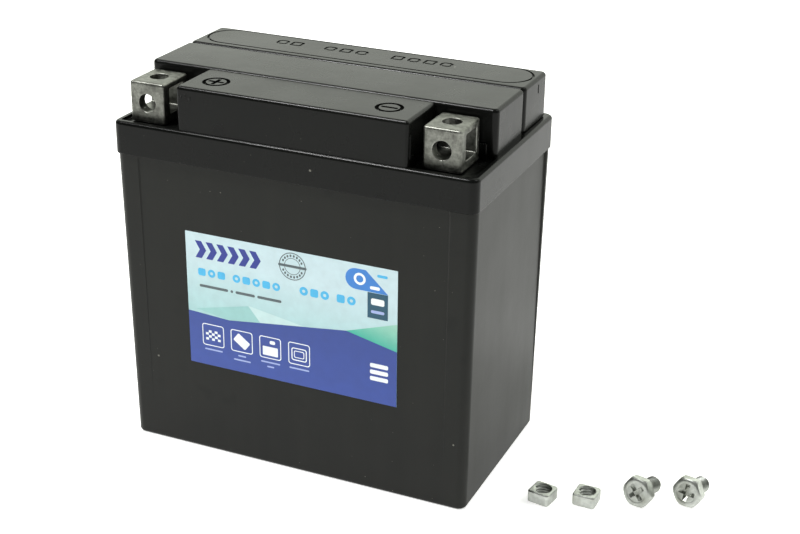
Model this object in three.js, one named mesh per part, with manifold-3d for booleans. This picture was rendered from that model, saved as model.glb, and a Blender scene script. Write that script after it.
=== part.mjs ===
// Motorcycle battery, sealed lead-acid, millimetres, +Z up, origin at the middle of the base.
// X runs along the long front face, Y runs from the front face (-Y) to the back.
import * as THREE from 'three';
import Module from 'manifold-3d';
import { mergeVertices } from 'three/addons/utils/BufferGeometryUtils.js';

const wasm = await Module();
wasm.setup();

// Overall size
const overallLength = 135;
const overallDepth = 75;
const overallHeight = 139;
const cornerRadius = 3.2;
const fitGap = 0.3;            // clearance between two separately made pieces

// Case
const blockHeight = 16;        // raised block above the deck
const rimHeight = 7.2;         // depth of the lid's rim band
const caseInsetX = 0.4;        // case side behind the rim, at the rim
const caseInsetY = 0.8;
const caseDraft = 1.1;         // case sides further in at the foot
const footChamfer = 1.3;
const caseWallX = 3.2;         // wall thickness at the rim
const caseWallY = 3.1;
const caseFloor = 3;
const partitionThickness = 1.6;
const cellCount = 6;
const spigotHeight = 3.1;      // case wall standing up inside the rim
const rimWallX = 1.7;
const rimWallY = 2;

// Bolts and nuts, M6; out is the distance beyond the battery's right end
const threadRadius = 2.95;
const threadRootRadius = 2.5;
const threadPitch = 1;
const shankLength = 10;
const headFlats = 10;
const headHeight = 4;
const headEdge = 0.8;
const crossLength = 5.6;
const crossWidth = 1.35;
const crossDepth = 2.4;
const nutWidth = 8.2;
const nutHeight = 4.6;
const nutEdge = 0.6;
const nutCorner = 1;
const nutThreadPlay = 0.1;
const nutMouth = 0.5;          // countersink at each end of the nut's thread
const nuts = [
  { name: 'nut_1', out: 20.6, y: -16.4, turn: -9.3 },
  { name: 'nut_2', out: 35.1, y: -11.4, turn: -1.3 },
];
const bolts = [
  { name: 'bolt_1', out: 51.3, y: -7, turn: 15, crossTurn: 45 },
  { name: 'bolt_2', out: 67.2, y: 0.3, turn: 13.4, crossTurn: 4 },
];

// Terminals
const terminalWidth = 13.8;
const terminalLeftInset = 11.1;    // terminal middle behind the battery's end
const terminalRightInset = 14.65;
const terminalFrontInset = 5.5;
const terminalCorner = 1.1;
const terminalEdge = 0.8;
const terminalTopWall = 2.3;
const pocketFrontWall = 4;
const pocketBackWall = 3.3;
const pocketFloor = 3.3;
const pocketPlayDeep = 1;          // nut play in the tunnel, front to back
const pocketPlayHigh = 0.7;
const boltHolePlay = 0.3;
const boltHoleDrop = 0.8;          // front hole below the tunnel's middle

// Lid
const deckThickness = 3.8;
const rimEdgeRadius = 1.3;
const wellDepth = 1.3;         // terminal wells are sunk below the deck
const wellLip = 2.2;
const blockEndInset = 2.5;     // raised block's ends behind the rim
const blockToTerminal = 1.1;
const blockWidth = 25.6;       // raised block's full-length part, front to back
const noseLeftInset = 25.4;    // raised block's nose between the terminals
const noseRightInset = 24.4;
const noseFrontInset = 1.2;
const noseStep = 0.5;          // nose top below the block top
const blockCorner = 2;
const topEdgeRadius = 1.3;
const lidWall = 2.4;

// Valves and cap strip
const neckRadius = 4.5;
const neckBoreRadius = 2.3;
const neckHeight = 6.2;
const valveWall = 1.1;
const valveTop = 2;
const valveEdge = 0.6;
const valveLift = 0.8;
const stripGap = 0.45;         // groove between the block and the strip
const stripBackInset = 3.1;
const stripWall = 2.2;
const stripTop = 3;
const retainerRadius = 2.4;

// Posts and seals
const postInset = 12.9;        // post behind the battery's end
const postRadius = 4;
const postEdge = 0.4;
const sealRingWire = 0.75;
const sealRingPlay = 0.4;
const sealCeiling = 1.2;       // lid left above the seal's recess
const bossWall = 1.4;
const bossLength = 8;
const pottingHeight = 2.6;

// Cell elements
const plateClearance = 2.2;    // plate edge to case wall
const separatorClearance = 0.8;
const stackClearance = 0.68;   // plate stack to partition
const plateRatio = 4 / 3;      // positive plate to negative plate thickness
const positiveCount = 3;
const separatorSheet = 0.9;
const separatorPad = 2;
const separatorOverhang = 2.5; // separator above the plates
const plateHeadroom = 23.8;    // plate tops below the rim
const lugHeight = 6;
const lugWidth = 10;
const lugInset = 2;            // lug behind the plate's edge
const strapHeight = 4;
const upstandHeight = 11;
const upstandThickness = 2.6;
const linkRadius = 3;
const linkRise = 6;            // link's axis above the strap

// Label
const labelWidth = 81.1;
const labelHeight = 51.1;
const labelBottomZ = 35.3;
const labelShift = -0.25;
const labelThickness = 0.2;
const labelCorner = 0.8;

// Derived sizes
const halfLength = overallLength / 2;
const halfDepth = overallDepth / 2;
const deckZ = overallHeight - blockHeight;
const rimBottomZ = deckZ - rimHeight;
const caseTopX = halfLength - caseInsetX;
const caseTopY = halfDepth - caseInsetY;
const innerX = caseTopX - caseWallX;
const innerY = caseTopY - caseWallY;
const spigotTopZ = rimBottomZ + spigotHeight;
const lidUnderZ = deckZ - deckThickness;
const cellWidth = (2 * innerX - (cellCount - 1) * partitionThickness) / cellCount;
const cellPitch = cellWidth + partitionThickness;
const pocketDepth = nutWidth + pocketPlayDeep;
const pocketHeight = nutWidth + pocketPlayHigh;
const boltHoleRadius = threadRadius + boltHolePlay;
const terminalDepth = pocketFrontWall + pocketDepth + pocketBackWall;
const terminalHeight = pocketFloor + pocketHeight + terminalTopWall;
const terminalFrontY = -halfDepth + terminalFrontInset;
const wellFloorZ = deckZ - wellDepth;
const terminalBottomZ = wellFloorZ + fitGap;
const holeCentreY = terminalFrontY + pocketFrontWall + pocketDepth / 2;
const holeCentreZ = terminalBottomZ + pocketFloor + pocketHeight / 2 - boltHoleDrop;
const blockHalfX = halfLength - blockEndInset;
const blockFrontY = terminalFrontY + terminalDepth + blockToTerminal;
const blockBackY = blockFrontY + blockWidth;
const noseLeftX = -halfLength + noseLeftInset;
const noseRightX = halfLength - noseRightInset;
const noseFrontY = -halfDepth + noseFrontInset;
const stripFrontY = blockBackY + stripGap;
const stripBackY = halfDepth - stripBackInset;
const valveRowY = (stripFrontY + stripBackY) / 2;
const postX = halfLength - postInset;
const postY = terminalFrontY + terminalDepth / 2;
const sealRecessRadius = postRadius + fitGap + 2 * sealRingWire + sealRingPlay;
const bossRadius = sealRecessRadius + bossWall;
const nutBoreRadius = threadRootRadius + nutThreadPlay;
const negativeCount = positiveCount + 1;
const plateGap = separatorSheet + 2 * fitGap;
const stackWidth = cellWidth - 2 * stackClearance;
const negativePlate = (stackWidth - 2 * positiveCount * plateGap)
  / (negativeCount + positiveCount * plateRatio);
const positivePlate = negativePlate * plateRatio;
const plateHalfWidth = innerY - plateClearance;
const separatorHalfWidth = innerY - separatorClearance;
const separatorBottomZ = caseFloor + fitGap;
const plateBottomZ = separatorBottomZ + separatorPad + 2 * fitGap;
const plateTopZ = rimBottomZ - plateHeadroom;
const separatorTopZ = plateTopZ + separatorOverhang;
const lugOuterY = plateHalfWidth - lugInset;
const lugInnerY = lugOuterY - lugWidth;
const lugMiddleY = (lugInnerY + lugOuterY) / 2;
const strapBottomZ = plateTopZ + lugHeight;
const strapTopZ = strapBottomZ + strapHeight;
const upstandTopZ = strapTopZ + upstandHeight;
const linkZ = strapTopZ + linkRise;

const cellX = (i) => (i - (cellCount - 1) / 2) * cellPitch;
const draftAt = (z) => caseDraft * (1 - z / rimBottomZ);
const caseHalfXAt = (z) => caseTopX - draftAt(z);
const caseHalfYAt = (z) => caseTopY - draftAt(z);

// Closed mesh from corner points and triangles
function meshFrom(points, faces) {
  const geometry = new THREE.BufferGeometry();
  geometry.setAttribute('position', new THREE.Float32BufferAttribute(points.flat(), 3));
  geometry.setIndex(faces.flat());
  return geometry;
}

// Corner points of one rounded rectangle, anticlockwise
function ringPoints(ring, arcSteps) {
  const { x = 0, y = 0, z, hx, hy, r } = ring;
  const points = [];
  for (let corner = 0; corner < 4; corner += 1) {
    const sx = corner === 0 || corner === 3 ? 1 : -1;
    const sy = corner < 2 ? 1 : -1;
    for (let k = 0; k <= arcSteps; k += 1) {
      const angle = (corner + k / arcSteps) * Math.PI / 2;
      points.push([x + sx * (hx - r) + r * Math.cos(angle), y + sy * (hy - r) + r * Math.sin(angle), z]);
    }
  }
  return points;
}

// Solid through a stack of rounded rectangles, bottom ring first
function stacked(rings, arcSteps = 3) {
  const count = 4 * (arcSteps + 1);
  const points = rings.flatMap((ring) => ringPoints(ring, arcSteps));
  const faces = [];
  for (let level = 0; level + 1 < rings.length; level += 1) {
    for (let k = 0; k < count; k += 1) {
      const a = level * count + k;
      const b = level * count + (k + 1) % count;
      faces.push([a, b, b + count], [a, b + count, a + count]);
    }
  }
  const top = (rings.length - 1) * count;
  for (let k = 1; k + 1 < count; k += 1) {
    faces.push([0, k + 1, k], [top, top + k, top + k + 1]);
  }
  return meshFrom(points, faces);
}

function box(x0, x1, y0, y1, z0, z1) {
  const geometry = new THREE.BoxGeometry(x1 - x0, y1 - y0, z1 - z0);
  return geometry.translate((x0 + x1) / 2, (y0 + y1) / 2, (z0 + z1) / 2);
}

// Solid of revolution about Z; the profile is [radius, z] from axis to axis, bottom first
function turned(profile, steps = 24) {
  const points = profile.map(([radius, z]) => new THREE.Vector2(radius, z));
  return new THREE.LatheGeometry(points, steps).rotateX(Math.PI / 2);
}

function rod(radius, z0, z1, steps = 24) {
  return turned([[0, z0], [radius, z0], [radius, z1], [0, z1]], steps);
}

function toSolid(geometry) {
  const plain = geometry.clone();
  plain.deleteAttribute('normal');
  plain.deleteAttribute('uv');
  const merged = mergeVertices(plain, 1e-4);
  const index = merged.index.array;
  const kept = [];
  for (let k = 0; k < index.length; k += 3) {
    const [a, b, c] = [index[k], index[k + 1], index[k + 2]];
    if (a !== b && b !== c && a !== c) kept.push(a, b, c);
  }
  const mesh = new wasm.Mesh({
    numProp: 3,
    vertProperties: Float32Array.from(merged.attributes.position.array),
    triVerts: Uint32Array.from(kept),
  });
  return new wasm.Manifold(mesh);
}

const join = (geometries) => geometries.map(toSolid).reduce((sum, next) => sum.add(next));
const cut = (body, geometries) => geometries.reduce((left, tool) => left.subtract(toSolid(tool)), body);

function toGeometry(body) {
  const mesh = body.getMesh();
  const geometry = new THREE.BufferGeometry();
  geometry.setAttribute('position', new THREE.BufferAttribute(mesh.vertProperties, 3));
  geometry.setIndex(new THREE.BufferAttribute(mesh.triVerts, 1));
  const flat = geometry.toNonIndexed();
  flat.computeVertexNormals();
  return flat;
}

const battery = new THREE.Group();
battery.name = 'motorcycle_battery';

const materials = {
  plastic: new THREE.MeshStandardMaterial({ color: 0x232423, roughness: 0.42, metalness: 0 }),
  lidPlastic: new THREE.MeshStandardMaterial({ color: 0x282928, roughness: 0.45, metalness: 0 }),
  rubber: new THREE.MeshStandardMaterial({ color: 0x1b1b1a, roughness: 0.8, metalness: 0 }),
  lead: new THREE.MeshStandardMaterial({ color: 0x8c8e88, roughness: 0.55, metalness: 0.9 }),
  zinc: new THREE.MeshStandardMaterial({ color: 0xb4b7b4, roughness: 0.38, metalness: 0.95 }),
  paper: new THREE.MeshStandardMaterial({ color: 0xd9e9e6, roughness: 0.35, metalness: 0 }),
  glassMat: new THREE.MeshStandardMaterial({ color: 0xf0f0ea, roughness: 0.95, metalness: 0 }),
  positivePaste: new THREE.MeshStandardMaterial({ color: 0x4a2e22, roughness: 0.9, metalness: 0 }),
  negativePaste: new THREE.MeshStandardMaterial({ color: 0x6f7478, roughness: 0.85, metalness: 0.2 }),
  potting: new THREE.MeshStandardMaterial({ color: 0x30343a, roughness: 0.3, metalness: 0 }),
};

function addPiece(name, body, material) {
  const geometry = body instanceof THREE.BufferGeometry ? body : toGeometry(body);
  const mesh = new THREE.Mesh(geometry, material);
  mesh.name = name;
  battery.add(mesh);
}

// Rounded upper edge as a few shrinking rings
function roundedTop(base, topZ, radius) {
  return [[0, 1], [0.35, 0.3], [1, 0]].map(([inset, drop]) => ({
    ...base,
    z: topZ - radius * drop,
    hx: base.hx - radius * inset,
    hy: base.hy - radius * inset,
    r: Math.max(0.3, base.r - radius * inset * 0.6),
  }));
}

function upright(x0, x1, y0, y1, z0, z1, corner, edge) {
  const base = { x: (x0 + x1) / 2, y: (y0 + y1) / 2, hx: (x1 - x0) / 2, hy: (y1 - y0) / 2, r: corner };
  return stacked([{ ...base, z: z0 }, ...roundedTop(base, z1, edge)]);
}

function buildCase() {
  const ring = (z, inset = 0) => ({
    z, hx: caseHalfXAt(z) - inset, hy: caseHalfYAt(z) - inset, r: cornerRadius,
  });
  const shellTop = rimBottomZ - fitGap;
  const spigotX = halfLength - rimWallX - fitGap;
  const spigotY = halfDepth - rimWallY - fitGap;
  const shell = stacked([ring(0, footChamfer), ring(footChamfer), ring(shellTop)]);
  const spigot = upright(-spigotX, spigotX, -spigotY, spigotY, shellTop - 1, spigotTopZ,
    cornerRadius - 1, 0.3);
  const tools = [];
  for (let i = 0; i < cellCount; i += 1) {
    const base = { x: cellX(i), hx: cellWidth / 2, hy: innerY, r: 1 };
    tools.push(stacked([{ ...base, z: caseFloor }, { ...base, z: spigotTopZ + 1 }], 2));
    if (i > 0) {
      const side = i % 2 === 1 ? 1 : -1;
      const hole = rod(linkRadius + fitGap, -partitionThickness, partitionThickness, 16);
      const wallX = cellX(i) - cellPitch / 2;
      tools.push(hole.rotateY(Math.PI / 2).translate(wallX, side * lugMiddleY, linkZ));
    }
  }
  addPiece('battery_case', cut(join([shell, spigot]), tools), materials.plastic);
}

function lidOutside() {
  const rim = { hx: halfLength, hy: halfDepth, r: cornerRadius };
  const band = stacked([
    { ...rim, z: rimBottomZ, hx: halfLength - 0.3, hy: halfDepth - 0.3 },
    { ...rim, z: rimBottomZ + 0.3 },
    ...roundedTop(rim, deckZ, rimEdgeRadius),
  ]);
  const block = upright(-blockHalfX, blockHalfX, blockFrontY, blockBackY, deckZ - 2, overallHeight,
    blockCorner, topEdgeRadius);
  const nose = upright(noseLeftX, noseRightX, noseFrontY, blockFrontY + 4, deckZ - 2,
    overallHeight - noseStep, blockCorner, topEdgeRadius);
  return [band, block, nose];
}

function buildLid() {
  const rear = blockFrontY - 0.01;
  const socketX = halfLength - rimWallX;
  const socketY = halfDepth - rimWallY;
  let body = join(lidOutside());
  const wellFront = -halfDepth + wellLip;
  body = cut(body, [
    upright(-halfLength + wellLip, noseLeftX, wellFront, rear, wellFloorZ, deckZ + 1, 0.5, 0.2),
    upright(noseRightX, halfLength - wellLip, wellFront, rear, wellFloorZ, deckZ + 1, 0.5, 0.2),
    stacked([
      { z: rimBottomZ - 1, hx: socketX, hy: socketY, r: cornerRadius - 1 },
      { z: lidUnderZ, hx: socketX, hy: socketY, r: cornerRadius - 1 },
    ]),
  ]);
  const ceilingZ = overallHeight - lidWall - noseStep;
  const cavities = [];
  for (let i = 0; i < cellCount; i += 1) {
    const x0 = Math.max(cellX(i) - cellWidth / 2, -blockHalfX + lidWall);
    const x1 = Math.min(cellX(i) + cellWidth / 2, blockHalfX - lidWall);
    cavities.push(box(x0, x1, blockFrontY + lidWall, blockBackY - lidWall, lidUnderZ - 1, ceilingZ));
    if (i > 0 && i < cellCount - 1) {
      const n0 = Math.max(x0, noseLeftX + lidWall);
      const n1 = Math.min(x1, noseRightX - lidWall);
      cavities.push(box(n0, n1, noseFrontY + lidWall, blockFrontY + lidWall + 1, lidUnderZ - 1, ceilingZ));
    }
  }
  body = cut(body, cavities);
  const added = [];
  const bores = [];
  for (let i = 0; i < cellCount; i += 1) {
    added.push(rod(neckRadius, deckZ - 1, deckZ + neckHeight, 20).translate(cellX(i), valveRowY, 0));
    const bore = rod(neckBoreRadius, lidUnderZ - 1, deckZ + neckHeight + 1, 16);
    bores.push(bore.translate(cellX(i), valveRowY, 0));
  }
  for (const side of [-1, 1]) {
    const x = side * postX;
    added.push(rod(bossRadius, lidUnderZ - bossLength, lidUnderZ + 1).translate(x, postY, 0));
    bores.push(rod(postRadius + fitGap, lidUnderZ - bossLength - 1, deckZ + 1).translate(x, postY, 0));
    const recess = rod(sealRecessRadius, lidUnderZ - bossLength - 1, lidUnderZ - sealCeiling);
    bores.push(recess.translate(x, postY, 0));
  }
  body = cut(body.add(join(added)), bores);
  addPiece('battery_lid', body, materials.lidPlastic);
}

function buildValvesAndStrip() {
  const valveBottomZ = deckZ + fitGap;
  const innerTopZ = deckZ + neckHeight + fitGap;
  const valveTopZ = innerTopZ + valveTop;
  const inner = neckRadius + fitGap;
  const outer = inner + valveWall;
  for (let i = 0; i < cellCount; i += 1) {
    const cup = turned([
      [0, innerTopZ], [inner, innerTopZ], [inner, valveBottomZ], [outer, valveBottomZ],
      [outer, valveTopZ - valveEdge], [outer - valveEdge, valveTopZ], [0, valveTopZ],
    ], 20);
    addPiece(`valve_cap_${i + 1}`, toSolid(cup.translate(cellX(i), valveRowY, 0)), materials.rubber);
  }
  const bottomZ = deckZ + fitGap;
  const underZ = overallHeight - stripTop;
  const hull = upright(-blockHalfX, blockHalfX, stripFrontY, stripBackY, bottomZ, overallHeight,
    blockCorner, topEdgeRadius);
  const hollow = box(-blockHalfX + stripWall, blockHalfX - stripWall, stripFrontY + stripWall,
    stripBackY - stripWall, bottomZ - 1, underZ);
  const stops = [];
  for (let i = 0; i < cellCount; i += 1) {
    const stop = rod(retainerRadius, valveTopZ + valveLift + fitGap, underZ + 1, 12);
    stops.push(stop.translate(cellX(i), valveRowY, 0));
  }
  addPiece('cap_strip', cut(toSolid(hull), [hollow]).add(join(stops)), materials.lidPlastic);
}

function buildTerminal(name, x) {
  const x0 = x - terminalWidth / 2;
  const x1 = x + terminalWidth / 2;
  const backY = terminalFrontY + terminalDepth;
  const topZ = terminalBottomZ + terminalHeight;
  const block = upright(x0, x1, terminalFrontY, backY, terminalBottomZ, topZ, terminalCorner, terminalEdge);
  const pocketY = terminalFrontY + pocketFrontWall;
  const pocketZ = terminalBottomZ + pocketFloor;
  const across = rod(boltHoleRadius, 0, pocketFrontWall + 3, 20).rotateX(Math.PI / 2);
  const body = cut(toSolid(block), [
    box(x0 - 1, x1 + 1, pocketY, pocketY + pocketDepth, pocketZ, pocketZ + pocketHeight),
    across.translate(x, terminalFrontY + pocketFrontWall + 1, holeCentreZ),
    rod(boltHoleRadius, pocketZ + pocketHeight - 1, topZ + 1, 20).translate(x, holeCentreY, 0),
  ]);
  addPiece(name, body, materials.lead);
}

function buildPostAndSeals(suffix, x) {
  const post = turned([
    [0, strapTopZ + fitGap], [postRadius, strapTopZ + fitGap], [postRadius, wellFloorZ - postEdge],
    [postRadius - postEdge, wellFloorZ], [0, wellFloorZ],
  ]);
  addPiece(`post_${suffix}`, toSolid(post.translate(x, postY, 0)), materials.lead);
  const ringRadius = postRadius + fitGap + sealRingWire;
  const ringZ = lidUnderZ - sealCeiling - fitGap - sealRingWire;
  const ring = new THREE.TorusGeometry(ringRadius, sealRingWire, 8, 20).translate(x, postY, ringZ);
  addPiece(`post_ring_${suffix}`, toSolid(ring), materials.rubber);
  const topZ = ringZ - sealRingWire - fitGap;
  const inner = postRadius + fitGap;
  const outer = sealRecessRadius - fitGap;
  const disc = toSolid(rod(outer, topZ - pottingHeight, topZ).translate(x, postY, 0));
  const bore = rod(inner, topZ - pottingHeight - 1, topZ + 1).translate(x, postY, 0);
  addPiece(`post_seal_${suffix}`, cut(disc, [bore]), materials.potting);
}

// One plate group: plates, lugs, strap and, where the strap meets a partition, an upstand
function plateGroup(centre, starts, thickness, side, upstandSide) {
  const y0 = side > 0 ? lugInnerY : -lugOuterY;
  const y1 = side > 0 ? lugOuterY : -lugInnerY;
  const left = centre - stackWidth / 2;
  const right = centre + stackWidth / 2;
  const parts = [box(left, right, y0, y1, strapBottomZ, strapTopZ)];
  for (const start of starts) {
    const x0 = left + start;
    parts.push(box(x0, x0 + thickness, -plateHalfWidth, plateHalfWidth, plateBottomZ, plateTopZ));
    parts.push(box(x0, x0 + thickness, y0 + 1, y1 - 1, plateTopZ - 1, strapBottomZ + 1));
  }
  if (upstandSide !== 0) {
    const reach = cellWidth / 2 - fitGap;
    const x1 = centre + upstandSide * reach;
    const x0 = x1 - upstandSide * upstandThickness;
    parts.push(box(Math.min(x0, x1), Math.max(x0, x1), y0, y1, strapBottomZ, upstandTopZ));
  }
  return join(parts);
}

function buildCell(i) {
  const centre = cellX(i);
  const step = negativePlate + positivePlate + 2 * plateGap;
  const negativeStarts = [...Array(negativeCount).keys()].map((k) => k * step);
  const positiveStarts = [...Array(positiveCount).keys()].map((k) => negativePlate + plateGap + k * step);
  const side = i % 2 === 0 ? -1 : 1;
  const positive = plateGroup(centre, positiveStarts, positivePlate, side, i === 0 ? 0 : -1);
  const negative = plateGroup(centre, negativeStarts, negativePlate, -side, i === cellCount - 1 ? 0 : 1);
  addPiece(`positive_plates_${i + 1}`, positive, materials.positivePaste);
  addPiece(`negative_plates_${i + 1}`, negative, materials.negativePaste);
  const left = centre - stackWidth / 2;
  const pad = box(left, left + stackWidth, -separatorHalfWidth, separatorHalfWidth, separatorBottomZ,
    separatorBottomZ + separatorPad);
  const sheets = [pad];
  for (let k = 0; k < positiveCount; k += 1) {
    for (const start of [negativePlate, negativePlate + plateGap + positivePlate]) {
      const x0 = left + k * step + start + fitGap;
      sheets.push(box(x0, x0 + separatorSheet, -separatorHalfWidth, separatorHalfWidth, separatorBottomZ,
        separatorTopZ));
    }
  }
  addPiece(`separator_${i + 1}`, join(sheets), materials.glassMat);
}

function buildLinks() {
  for (let i = 1; i < cellCount; i += 1) {
    const side = i % 2 === 1 ? 1 : -1;
    const link = rod(linkRadius, -partitionThickness / 2, partitionThickness / 2, 16).rotateY(Math.PI / 2);
    link.translate(cellX(i) - cellPitch / 2, side * lugMiddleY, linkZ);
    addPiece(`cell_link_${i}`, toSolid(link), materials.lead);
  }
}

// Thin skin following the sloping front wall
function buildLabel() {
  const base = {
    x: labelShift, y: labelBottomZ + labelHeight / 2, hx: labelWidth / 2, hy: labelHeight / 2,
    r: labelCorner,
  };
  const sheet = stacked([{ ...base, z: 0 }, { ...base, z: labelThickness }]).rotateX(Math.PI / 2);
  const position = sheet.attributes.position;
  for (let k = 0; k < position.count; k += 1) {
    position.setY(k, position.getY(k) - caseHalfYAt(position.getZ(k)) - fitGap);
  }
  addPiece('front_label', toSolid(sheet), materials.paper);
}

// Nut lying flat, bore upright
function buildNut({ name, out, y, turn }) {
  const h = nutWidth / 2;
  const base = { hx: h, hy: h, r: nutCorner };
  const small = { hx: h - nutEdge, hy: h - nutEdge, r: nutCorner - 0.4 };
  const block = stacked([
    { ...small, z: 0 }, { ...base, z: nutEdge },
    { ...base, z: nutHeight - nutEdge }, { ...small, z: nutHeight },
  ], 2);
  const bore = turned([
    [0, -nutMouth], [nutBoreRadius + 2 * nutMouth, -nutMouth], [nutBoreRadius, nutMouth],
    [nutBoreRadius, nutHeight - nutMouth], [nutBoreRadius + 2 * nutMouth, nutHeight + nutMouth],
    [0, nutHeight + nutMouth],
  ]);
  const body = cut(toSolid(block), [bore]);
  const geometry = toGeometry(body).rotateZ(THREE.MathUtils.degToRad(turn));
  addPiece(name, toSolid(geometry.translate(halfLength + out, y, 0)), materials.zinc);
}

// Bolt along +Y from its head face at the origin, before it is laid down
function boltBody(crossTurn) {
  const across = headFlats / 2;
  const corner = across / Math.cos(Math.PI / 6);
  const hex = new THREE.Shape([...Array(6).keys()].map((k) => {
    const angle = k * Math.PI / 3;
    return new THREE.Vector2(corner * Math.cos(angle), corner * Math.sin(angle));
  }));
  const head = toSolid(new THREE.ExtrudeGeometry(hex, { depth: headHeight, bevelEnabled: false }));
  const roundOff = turned([
    [0, 0], [across, 0], [corner + 0.1, headEdge + 0.1], [corner + 0.1, headHeight], [0, headHeight],
  ], 30);
  const profile = [[0, headHeight - 0.5], [threadRadius, headHeight - 0.5]];
  const tipZ = headHeight + shankLength;
  for (let z = headHeight + 1; z < tipZ - 0.9; z += threadPitch) {
    profile.push([threadRadius, z - 0.05], [threadRootRadius, z + threadPitch * 0.45],
      [threadRadius, z + threadPitch * 0.95]);
  }
  profile.push([threadRootRadius, tipZ], [0, tipZ]);
  const arms = [0, 90].map((angle) => {
    const mouth = { hx: crossLength / 2, hy: crossWidth / 2, r: 0.2, z: -0.5 };
    const root = { hx: crossLength / 6, hy: crossWidth / 3, r: 0.2, z: crossDepth };
    const arm = stacked([mouth, root], 1);
    return arm.rotateZ(THREE.MathUtils.degToRad(angle + crossTurn));
  });
  return cut(head.intersect(toSolid(roundOff)).add(toSolid(turned(profile, 16))), arms);
}

function buildBolt({ name, out, y, turn, crossTurn }) {
  const geometry = toGeometry(boltBody(crossTurn)).rotateX(-Math.PI / 2);
  const slope = Math.atan((headFlats / 2 - threadRadius) / shankLength);
  geometry.rotateX(-slope).rotateZ(-THREE.MathUtils.degToRad(turn));
  geometry.computeBoundingBox();
  geometry.translate(halfLength + out, y, -geometry.boundingBox.min.z);
  addPiece(name, toSolid(geometry), materials.zinc);
}

buildCase();
buildLid();
buildValvesAndStrip();
buildTerminal('terminal_positive', -halfLength + terminalLeftInset);
buildTerminal('terminal_negative', halfLength - terminalRightInset);
buildPostAndSeals('positive', -postX);
buildPostAndSeals('negative', postX);
for (let i = 0; i < cellCount; i += 1) buildCell(i);
buildLinks();
buildLabel();
nuts.forEach(buildNut);
bolts.forEach(buildBolt);

export default battery;
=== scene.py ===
import math

import bmesh
import bpy
from mathutils import Matrix, Vector


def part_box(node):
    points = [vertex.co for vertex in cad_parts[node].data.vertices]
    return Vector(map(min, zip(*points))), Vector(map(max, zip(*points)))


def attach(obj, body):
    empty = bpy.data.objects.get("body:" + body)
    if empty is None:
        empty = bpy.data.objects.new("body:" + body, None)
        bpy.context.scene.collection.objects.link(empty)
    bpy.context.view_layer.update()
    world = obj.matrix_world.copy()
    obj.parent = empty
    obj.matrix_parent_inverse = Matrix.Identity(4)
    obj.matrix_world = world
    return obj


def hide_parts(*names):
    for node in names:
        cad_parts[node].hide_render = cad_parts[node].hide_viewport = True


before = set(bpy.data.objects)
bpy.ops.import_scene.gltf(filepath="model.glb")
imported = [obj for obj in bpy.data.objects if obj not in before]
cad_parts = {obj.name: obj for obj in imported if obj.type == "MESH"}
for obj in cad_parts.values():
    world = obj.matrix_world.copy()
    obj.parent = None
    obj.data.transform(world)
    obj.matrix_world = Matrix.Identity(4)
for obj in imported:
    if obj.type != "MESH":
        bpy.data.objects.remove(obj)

scene = bpy.context.scene
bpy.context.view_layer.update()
print("frame loaded")

# Shapes are worked out in millimetres and written in metres when a piece is finished.


def nodeBox(node):
    low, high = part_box(node)
    return [v * 1000 for v in low], [v * 1000 for v in high]


def hexColour(code):
    channels = [int(code[i:i + 2], 16) / 255 for i in (1, 3, 5)]
    return tuple(c / 12.92 if c <= 0.04045 else ((c + 0.055) / 1.055) ** 2.4 for c in channels) + (1.0,)


# settings: a node property, or an input by its name or number; links: input to output socket
def addNode(tree, kind, settings=None, links=None):
    node = tree.nodes.new(kind)
    for key, value in (settings or {}).items():
        if isinstance(key, str) and hasattr(node, key):
            setattr(node, key, value)
        else:
            node.inputs[key].default_value = value
    for key, socket in (links or {}).items():
        tree.links.new(socket, node.inputs[key])
    return node


def makeObject(name, verts, faces, slots=None):
    mesh = bpy.data.meshes.new(name)
    mesh.from_pydata([tuple(v) for v in verts], [], faces)
    if slots is not None:
        for polygon, index in zip(mesh.polygons, slots):
            polygon.material_index = index
    mesh.validate()
    thing = bpy.data.objects.new(name, mesh)
    scene.collection.objects.link(thing)
    return thing


def roundedRing(halfX, halfY, corner, steps):
    points = []
    centres = ((1, 1, 0), (-1, 1, 90), (-1, -1, 180), (1, -1, 270))
    for sx, sy, start in centres:
        for k in range(steps + 1):
            angle = math.radians(start + 90 * k / steps)
            points.append((sx * (halfX - corner) + corner * math.cos(angle),
                           sy * (halfY - corner) + corner * math.sin(angle)))
    return points


# Faces between rings of count points that follow one another; closed joins the last ring to the first
def ringFaces(rings, count, closed=False):
    faces = []
    for level in range(rings if closed else rings - 1):
        a, b = level * count, (level + 1) % rings * count
        faces += [(a + k, a + (k + 1) % count, b + (k + 1) % count, b + k) for k in range(count)]
    return faces


def endFaces(rings, count):
    return [tuple(reversed(range(count))), tuple(range((rings - 1) * count, rings * count))]


# rings: lists of 3-D points, the same number in each, from one end to the other
def loft(name, rings):
    count = len(rings[0])
    first, last = endFaces(len(rings), count)
    return makeObject(name, [p for ring in rings for p in ring], [first, *ringFaces(len(rings), count), last])


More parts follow.
